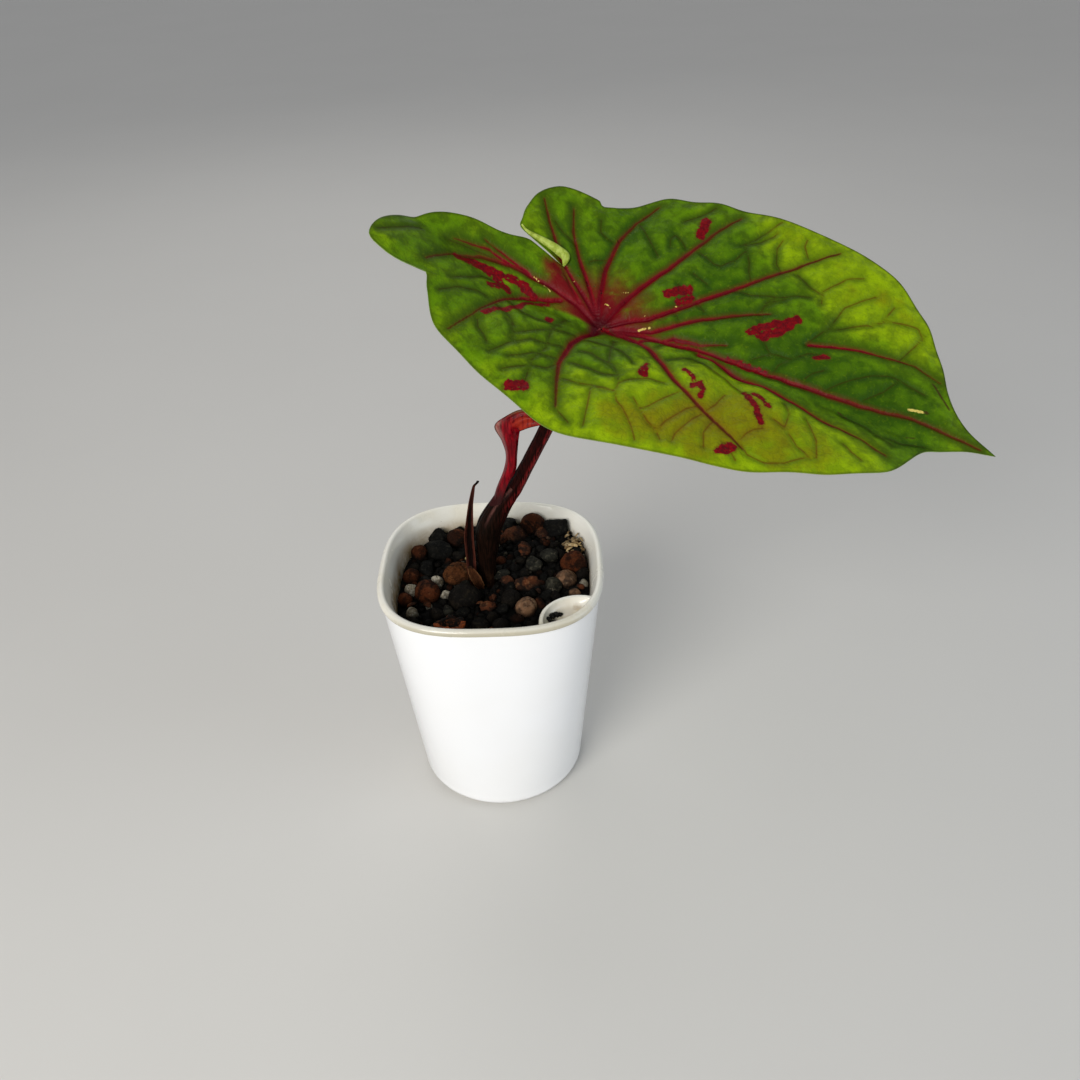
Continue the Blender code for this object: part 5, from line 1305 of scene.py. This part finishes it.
def leafHeight(u, v):
    # the near half bulges and then levels out, the far half climbs, the lobes lift, the tip hangs,
    # and the main veins lie in valleys that are deepest at the stalk
    relief = leafRelief
    out = np.sqrt(v * v + 4) - 2
    bulge = 1 - np.exp(-out / relief["bulgeReach"])
    near = relief["nearBulge"] * bulge + relief["nearSlope"] * out - relief["nearDroop"] * v * v
    far = relief["farBulge"] * bulge + relief["farSlope"] * out
    height = np.where(v < 0, near, far) - relief["tipDroop"] * np.maximum(u - relief["tipFrom"], 0) ** 2
    height = height + relief["lobeLift"] * np.minimum(u, 0) ** 2
    gap, _, along = toLines(u, v, [vein[0] for vein in mainVeins])[:3]
    centre = np.hypot(u - leafShape["stalkMeets"][0], v - leafShape["stalkMeets"][1])
    depth = relief["valley"] * np.exp(-centre / relief["valleyReach"]) + relief["valleyStart"] * (1 - along)
    height = height + depth * (1 - np.exp(-((gap / relief["valleyWidth"]) ** relief["valleyPower"]))) - depth
    return height + browHeight(u, v) - relief["hubDip"] * np.exp(-(centre**2) / relief["hubSpread"])


def leafOutline(count):
    # the outline as a closed smooth curve at even lengths, sharp at the tip and at the slit
    data = np.array(leafShape["outline"], float)
    tip = int(data[:, 0].argmax())
    parts = []
    for points, share in ((data[:tip + 1], count // 2), (np.vstack([data[tip:], data[:1]]), count - count // 2)):
        curve = smoothLine(points, 900)
        length = np.concatenate([[0], np.cumsum(np.hypot(*np.diff(curve, axis=0).T))])
        even = np.linspace(0, length[-1], share + 1)[:-1]
        parts.append(np.stack([np.interp(even, length, values) for values in curve.T], 1))
    # seen from the pole its bearing never turns back, so that no two spokes cross
    leastStep = 2e-4
    pole = np.array(leafShape["pole"])
    away = np.vstack(parts) - pole
    bearing = np.unwrap(np.arctan2(away[:, 1], away[:, 0]))
    ramp = leastStep * np.arange(count)
    first = bearing[0]
    bearing = first + np.maximum.accumulate(bearing - first - ramp) + ramp
    bearing = bearing - np.maximum(bearing - first - 2 * np.pi + leastStep, 0)
    return pole + np.hypot(*away.T)[:, None] * unitRing(bearing)


def leafSurface():
    # points run from a pole inside the blade straight to the outline; height comes from leafHeight, with
    # puffs between the net veins and a shallow wave along the margin
    relief, rings, spokes = leafRelief, leafShape["rings"], leafShape["spokes"]
    outline, pole = leafOutline(spokes), np.array(leafShape["pole"])
    out = (np.arange(1, rings + 1) / rings) ** 0.86
    flat = (pole + (outline - pole) * out[:, None, None]).reshape(-1, 2)
    flat = np.vstack([flat, pole])
    u, v = flat.T
    veins = mainVeins + sideVeins
    gap, side, along, index, sure = toLines(u, v, [vein[0] for vein in veins])
    start, lasting = (np.array([vein[part] for vein in veins])[index] for part in (1, 2))
    width = 1.15 * start * (1 - 0.78 * along**0.6)
    width = np.where(index == 0, width * (1 - 0.45 * smoothStep(u, 8, 40) * (1 - smoothStep(u, 62, 74))), width)
    netGap, netSide, _, _, netSure = toLines(u, v, netVeins)
    edge = toLines(u, v, [np.vstack([outline, outline[:1]])])[0]

    crease = np.minimum(netGap, gap + 0.4)
    puff = relief["puff"] * (1 - np.exp(-((crease / relief["puffWidth"]) ** 2))) * smoothStep(edge, 0.5, 6)
    uneven = softNoise(np.stack([u, v, 0 * u], 1), relief["unevenSize"], 11) - 0.5
    puff = puff + relief["unevenPuff"] * uneven * smoothStep(edge, 0.5, 5)
    w = leafHeight(u, v) + puff - relief["groove"] * np.exp(-((gap / (0.7 * width + 0.25)) ** 2))
    beat = np.concatenate([np.tile(np.arange(spokes) / spokes, rings), [0]])
    wave = np.sin(beat * 2 * np.pi * relief["waves"] + 2.0 * np.sin(beat * 2 * np.pi * 5))
    wave = relief["wave"] * wave * smoothStep(-edge, -9, 0)
    # no wave at the slit and at the far lobe's step, where spokes lie close
    w = w + wave * smoothStep(np.hypot((u + 33) * 0.8, v - 22), 11, 20) * smoothStep(np.hypot(u + 18, v - 52), 5, 15)

    tone = 0.42 + 0 * u
    for tu, tv, reach, amount in toneSpots:
        tone = tone + amount * np.exp(-((u - tu) ** 2 + (v - tv) ** 2) / reach**2)
    # the flush round the stalk: on the far half, along the far lobe's vein and in the middle
    centre = np.hypot(u, v - 4)
    farSide = smoothStep(v + 0.10 * np.maximum(u, 0) - 0.12 * np.minimum(u, 0), 1.5, 5.0)
    flush = farSide * np.exp(-((centre / 21) ** 2))
    lobe = toLines(u, v, [((0, 4), (-10, 8), (-22, 13), (-26, 18))])[0]
    flush = np.maximum(flush, 0.9 * np.exp(-((lobe / 5.0) ** 2)) * smoothStep(v - 0.05 * u, 3.0, 7.0))
    marks = {
        "veinGap": gap, "veinSide": np.clip(side, -6, 6), "veinSure": sure,
        "veinWidth": width, "veinAlong": along, "veinLasting": lasting,
        "netGap": netGap, "netSide": np.clip(netSide, -5, 5), "netSure": netSure, "edgeGap": edge,
        "blotch": capsules(u, v, blotches, 1.3), "fleck": capsules(u, v, flecks, 0.6),
        "brown": capsules(u, v, brownMarks), "tone": tone, "centre": centre,
        "flush": np.maximum(flush, np.exp(-((centre / 4.2) ** 2))),
    }
    return flat, np.stack([u, v, w], 1), marks


def fineLine(tree, name):
    # the distance from a line: the size of the signed one where that is sure, and the plain one elsewhere
    gap, side = number(tree, name + "Gap"), calc("ABSOLUTE", number(tree, name + "Side"))
    return calc("MAXIMUM", calc("MULTIPLY_ADD", side - gap, number(tree, name + "Sure"), gap), gap - 0.85)


def leafMaterial():
    # greens and yellows, then the net, the veins, the blotches and the edge over them
    material, tree, shader = newMaterial("leafUpper", 0.45, Specular_IOR_Level=0.09)
    tint, where = leafColours, put(tree, "ShaderNodeUVMap", {}, uv_map="leafUV")
    gap, width = number(tree, "veinGap"), number(tree, "veinWidth")
    wobble = (noise(where, 34, 4, 0.6) - 0.5) * 0.7
    line, netLine = fineLine(tree, "vein") + wobble, calc("MULTIPLY_ADD", wobble, 0.9, fineLine(tree, "net"))
    broad = fade(noise(where, 6, 4, 0.6), 0.3, 0.7, -0.2, 0.2)
    tone = number(tree, "tone") + broad

    # green to yellow by tone, lighter on each puff between the net veins, partly the puffs' own yellow-green and partly
    # painted light on their raised tops, with a soft mottle and a fine net
    puffed = fade(number(tree, "netGap"), 0.2, 3.4) * fade(gap, 0.8, 5.0)
    puffed = puffed * fade(noise(where, 19, 3, 0.5, 0.3), 0.34, 0.62, 0.25, 1.0) * fade(tone, -0.4, 0.45, 0.3, 0.9)
    low, middling, high = tint["puffs"]
    lit = coats(low, (fade(tone, 0.3, 0.9), middling), (fade(tone, 1.0, 1.4), high))
    mottle = noise(where, 62, 4, 0.65, 0.6)
    drift = put(tree, "ShaderNodeTexNoise", {"Vector": where, "Scale": 18.0}, 1)
    drift = put(tree, "ShaderNodeVectorMath", {0: drift, 1: (0.05, 0.05, 0)}, operation="MULTIPLY")
    patch = cells(put(tree, "ShaderNodeVectorMath", {0: where, 1: drift}), 30, "DISTANCE_TO_EDGE")
    fineNet = fade(patch, 0.1, 0.01) * fade(broad, -0.1, 0.15, 0.03, 0.16)
    deep, green, lime, yellow = tint["greens"]
    body = coats(deep, (fade(tone, -0.15, 0.5), green), (fade(tone, 0.45, 1.15), lime),
                 (fade(tone, 1.1, 1.6, 0, 0.85), yellow), (puffed, lit),
                 (fade(mottle, 0.5, 0.72, 0, 0.25), tint["mottleDark"]),
                 (fade(mottle, 0.46, 0.28, 0, 0.22), tint["mottleLight"]), (fineNet, tint["fineNet"]))

    # the net: a soft shade beside it and a thin dark line, both browner where the leaf is yellow
    netShade = blend(fade(tone, 0.6, 1.2), *tint["netShade"])
    netDark = blend(fade(tone, 0.5, 1.2), *tint["netLine"])
    body = coats(body, (fade(netLine, 1.25, 0.1, 0, 0.28), netShade), (fade(netLine, 0.42, 0.04, 0, 0.6), netDark))

    # a brown halo, then the vein with a darker middle; all fade and turn brown towards its end
    left = calc("DIVIDE", number(tree, "veinAlong"), number(tree, "veinLasting"))
    strong = fade(left, 1.1, 0.35)
    halo = fade(line, calc("MULTIPLY_ADD", width, 2.2, 0.9), width * 0.7)
    core = fade(line, calc("MULTIPLY_ADD", width, 1.3, 0.15), width * 0.6)
    middle = fade(line, calc("MULTIPLY_ADD", width, 0.75, 0.1), 0.0, 0, 0.75)
    flush = number(tree, "flush") * fade(noise(where, 14, 5, 0.65, 0.4), 0.2, 0.6, 0.5, 1.15)
    deepRed = blend(fade(noise(where, 16), 0.35, 0.65), *tint["vein"])
    body = coats(body, (halo * fade(left, 1.2, 0.2, 0.2, 0.6), tint["halo"]), (fade(flush, 0.14, 0.95), tint["flush"]),
                 (core * fade(left, 1.5, 0.9, 0.6, 1.0), blend(strong, tint["veinEnd"], deepRed)),
                 (middle, blend(strong, *tint["veinMiddle"])),
                 (fade(number(tree, "centre"), 8.0, 1.5), tint["hub"]))

    # ragged crimson blotches with brown rims and a few gaps, pale flecks, dry spots and a darker edge
    shape = number(tree, "blotch") + (noise(where, 36, 2, 0.6) - 0.5) * 3.4
    mark = fade(shape, 0.14, -0.1) * fade(noise(where, 60, 2, 0.5), 0.3, 0.34)
    speck = number(tree, "fleck") + (noise(where, 120) - 0.5) * 0.7
    dry = number(tree, "brown") + wobble * 0.5
    body = coats(body, (fade(shape, 1.0, 0.0, 0, 0.45), tint["blotchRim"]),
                 (mark, blend(fade(mottle, 0.35, 0.65), *tint["blotch"])),
                 (fade(speck, 0.1, -0.06), tint["fleck"]), (fade(dry, 0.4, -0.05, 0, 0.85), tint["dry"]),
                 (fade(number(tree, "edgeGap"), 1.1, 0.2, 0, 0.5), tint["edge"]))

    join(shader, Base_Color=body, Roughness=fade(noise(where, 24, 4), 0.3, 0.7, 0.34, 0.52))
    relief = fade(netLine, 0.0, 1.8) + fade(patch, 0.0, 0.2) * 0.2 + noise(where, 110, 4, 0.65) * 0.7
    bump(shader, relief + fade(line, 0.0, 1.1) * 0.7, 0.6, 0.55)
    return material


def leafUnderMaterial():
    # paler green with brownish veins that redden towards the stalk, and the blotches showing through faintly
    material, tree, shader = newMaterial("leafUnder", 0.6, Specular_IOR_Level=0.2)
    tint, where = underColours, put(tree, "ShaderNodeUVMap", {}, uv_map="leafUV")
    width, line, netLine = number(tree, "veinWidth"), fineLine(tree, "vein"), fineLine(tree, "net")
    veins = fade(line, calc("MULTIPLY_ADD", width, 1.1, 0.3), width * 0.4)
    veinTint = blend(fade(number(tree, "veinAlong"), 0.9, 0.2), *tint["vein"])
    shade = number(tree, "blotch") + (noise(where, 42, 5, 0.7) - 0.5) * 3.0
    body = coats(tint["greens"][0], (fade(noise(where, 8, 4, 0.6), 0.3, 0.7), tint["greens"][1]),
                 (fade(number(tree, "tone"), 0.7, 1.4, 0, 0.6), tint["yellow"]),
                 (fade(cells(where, 21, "DISTANCE_TO_EDGE"), 0.1, 0.01, 0, 0.3), tint["fineNet"]),
                 (fade(netLine, 0.9, 0.1, 0, 0.6), tint["net"]), (veins, veinTint),
                 (fade(number(tree, "centre"), 12, 3, 0, 0.7), tint["hub"]),
                 (fade(shade, 0.3, -0.3, 0, 0.55), tint["blotch"]))
    join(shader, Base_Color=body)
    bump(shader, noise(where, 160) - fade(netLine, 0.1, 1.2), 0.5, 0.4)
    return material


def upperNormals(top, corners, plumb):
    # normals of the upper face from its own faces, added at each corner; a little of the blade's own normal is
    # added, which holds where spokes nearly meet
    one, two = top[corners[:, 1]] - top[corners[:, 0]], top[corners[:, 2]] - top[corners[:, 0]]
    face = np.cross(one, two)
    normal = np.zeros(top.shape) + 0.01 * plumb * (1 if (face @ plumb).sum() > 0 else -1)
    for corner in range(3):
        np.add.at(normal, corners[:, corner], face)
    normal = unit(normal)
    up = 1 if (normal @ plumb).mean() > 0 else -1
    return normal * up, up


def makeLeaf():
    # the upper face, and under it the same points lowered by the thickness and by a rib along each vein
    flat, upper, marks = leafSurface()
    rings, spokes = leafShape["rings"], leafShape["spokes"]
    basis, count = leafAxes(), len(upper)
    quads, fans = loftFaces(rings, spokes)
    fans = fans[:spokes]  # the pole's own fan
    fans[:, 0] = rings * spokes
    top = upper @ basis + np.array(leafShape["hub"])
    normal, up = upperNormals(top, np.vstack([quads[:, [0, 1, 2]], quads[:, [0, 2, 3]], fans]), basis[2])
    gap, width, edge = marks["veinGap"], marks["veinWidth"], marks["edgeGap"]
    rib = 1.1 * np.exp(-((gap / (0.9 * width + 0.2)) ** 2)) * width / 1.3
    deep = leafShape["thickness"] * (0.55 + 0.45 * smoothStep(edge, 0, 3)) + rib * smoothStep(edge, 0, 4)
    upQuads, upFans = (quads, fans) if up > 0 else (quads[:, ::-1], fans[:, ::-1])
    lowQuads, lowFans = upQuads[:, ::-1] + count, upFans[:, ::-1] + count
    here = (rings - 1) * spokes + np.arange(spokes)
    there = (rings - 1) * spokes + (np.arange(spokes) + 1) % spokes
    rim = np.stack([here, here + count, there + count, there], 1)
    points = np.vstack([top, top - normal * deep[:, None]])
    skin = points, np.vstack([upQuads, lowQuads, rim]), np.vstack([upFans, lowFans])
    picks = np.repeat([0, 1, 0, 1], [len(upQuads), len(lowQuads) + len(rim), len(upFans), len(lowFans)])
    extra = {key: np.tile(value, 2) for key, value in marks.items()}
    extra["leafUV"] = np.tile(flat * leafShape["uvScale"], (2, 1))
    makePiece("leafBlade", skin, [leafMaterial(), leafUnderMaterial()], ["leaf_blade"], picks=picks,
              extra=extra)


def leafCurlMaterial():
    # pale green, darker along both edges, with a few darker specks
    material, tree, shader = newMaterial("leafCurlSkin", 0.5, Specular_IOR_Level=0.2)
    tint, where = curlColours, place(tree)
    body = coats(tint["pale"][0], (fade(noise(where, 420, 4, 0.6), 0.35, 0.65), tint["pale"][1]),
                 (fade(rimGap(number(tree, "across")), 0.16, 0.0, 0, 0.7), tint["rim"]),
                 (fade(noise(where, 900), 0.56, 0.7, 0, 0.4), tint["speck"]))
    join(shader, Base_Color=body)
    bump(shader, noise(where, 600), 0.3, 0.2)
    return material


def makeLeafCurl():
    # the rolled margin on the slit's far side: at each place an arc of a circle that leaves the blade, passes
    # over its edge and turns back, wider towards the slit's end and closed there
    rows, columns = 90, 18
    line = smoothLine(leafShape["curl"], rows)
    along = np.linspace(0, 1, rows)
    closing = np.clip(1 - ((along - 0.86) / 0.145) ** 2, 0.02, 1) ** (along > 0.86)
    radius = (0.25 + 1.45 * smoothStep(along, 0.05, 0.82)) * np.sqrt(closing)
    ahead = unit(np.gradient(line, axis=0))
    out = np.stack([ahead[:, 1], -ahead[:, 0]], 1)
    root = line - out * radius[:, None] * 0.8
    turn = np.radians(np.linspace(-75, 135, columns))
    flat = root[:, None] + out[:, None] * (radius[:, None] * np.cos(turn))[..., None]
    height = leafHeight(root[:, 0], root[:, 1])[:, None] + radius[:, None] * (1 + np.sin(turn)) - 0.25
    grid = np.concatenate([flat, height[..., None]], 2) @ leafAxes() + np.array(leafShape["hub"])
    makePiece("leafCurl", sheetSkin(grid, leafShape["curlThickness"]), [leafCurlMaterial()],
              ["leaf_blade"], sharp=60, extra=sheetMarks(rows, columns))


# floor, light and camera

stageSettings = {
    "floor": (208, 206, 201), "floorCloud": (198, 196, 191), "floorReach": 6,
    "cameraPlace": (28.919, -380.949, 389.5), "pitch": 34.47, "rollTurn": -2.12, "swing": 1.01, "lens": 34.933,
    "lightGoal": (0.03, 0, 0.14),
    # place in metres, size, power and colour
    "lights": {
        "windowLight": ((-0.5, -1.0, 0.72), 0.75, 12.5, (1.0, 0.98, 0.94)),
        "sideFill": ((1.0, -0.3, 0.45), 0.8, 2.2, (0.74, 0.86, 1.0)),
        "backFill": ((-0.2, 0.9, 0.9), 0.9, 2.0, (1.0, 0.98, 0.95)),
    },
    "worldColour": (0.86, 0.88, 0.92, 1), "worldStrength": 0.45,
}


def makeStage():
    reach = stageSettings["floorReach"]
    mesh = bpy.data.meshes.new("floor")
    corners = [(-reach, -reach, 0), (reach, -reach, 0), (reach, reach, 0), (-reach, reach, 0)]
    mesh.from_pydata(corners, [], [(0, 1, 2, 3)])
    floor = addObject("floor", mesh)
    material, tree, shader = newMaterial("floorPaint", 0.6)
    cloud = fade(noise(place(tree), 5), 0.3, 0.7, 0, 0.15)
    join(shader, Base_Color=blend(cloud, stageSettings["floor"], stageSettings["floorCloud"]))
    mesh.materials.append(material)

    goal = Vector(stageSettings["lightGoal"])
    for name, (spot, size, power, colour) in stageSettings["lights"].items():
        data = bpy.data.lights.new(name, "AREA")
        data.shape, data.size, data.energy, data.color = "DISK", size, power, colour
        lamp = addObject(name, data)
        lamp.location = spot
        lamp.rotation_euler = (goal - Vector(spot)).to_track_quat("-Z", "Y").to_euler()
    world = bpy.data.worlds.new("room")
    bpy.context.scene.world = world
    world.use_nodes = True
    back = world.node_tree.nodes["Background"]
    back.inputs[0].default_value = stageSettings["worldColour"]
    back.inputs[1].default_value = stageSettings["worldStrength"]
    bpy.context.scene.view_settings.view_transform = "Standard"


def makeCamera():
    # looks along +Y, turned down by the pitch, then rolled, and swung about Z
    pitch, roll, swing = (math.radians(stageSettings[key]) for key in ("pitch", "rollTurn", "swing"))
    ahead = Vector((0, math.cos(pitch), -math.sin(pitch)))
    right = Vector((1, 0, 0))
    up = right.cross(ahead)
    turnedRight = right * math.cos(roll) + up * math.sin(roll)
    turnedUp = up * math.cos(roll) - right * math.sin(roll)
    around = Matrix.Rotation(swing, 3, "Z")
    columns = [around @ turnedRight, around @ turnedUp, around @ -ahead]
    data = bpy.data.cameras.new("photoCamera")
    data.lens, data.sensor_width, data.clip_start = stageSettings["lens"], 36.0, 0.01
    camera = addObject("photoCamera", data)
    spot = Matrix.Translation(Vector(stageSettings["cameraPlace"]) * mm)
    camera.matrix_world = spot @ Matrix(columns).transposed().to_4x4()
    bpy.context.scene.camera = camera


makeStage()
makeCamera()
print("stage set")
makePots()
print("pots done")
makeMix()
print("mix done")
makeShoots()
print("shoots done")
makeLeaf()
makeLeafCurl()
print("leaf done")

bpy.context.view_layer.update()
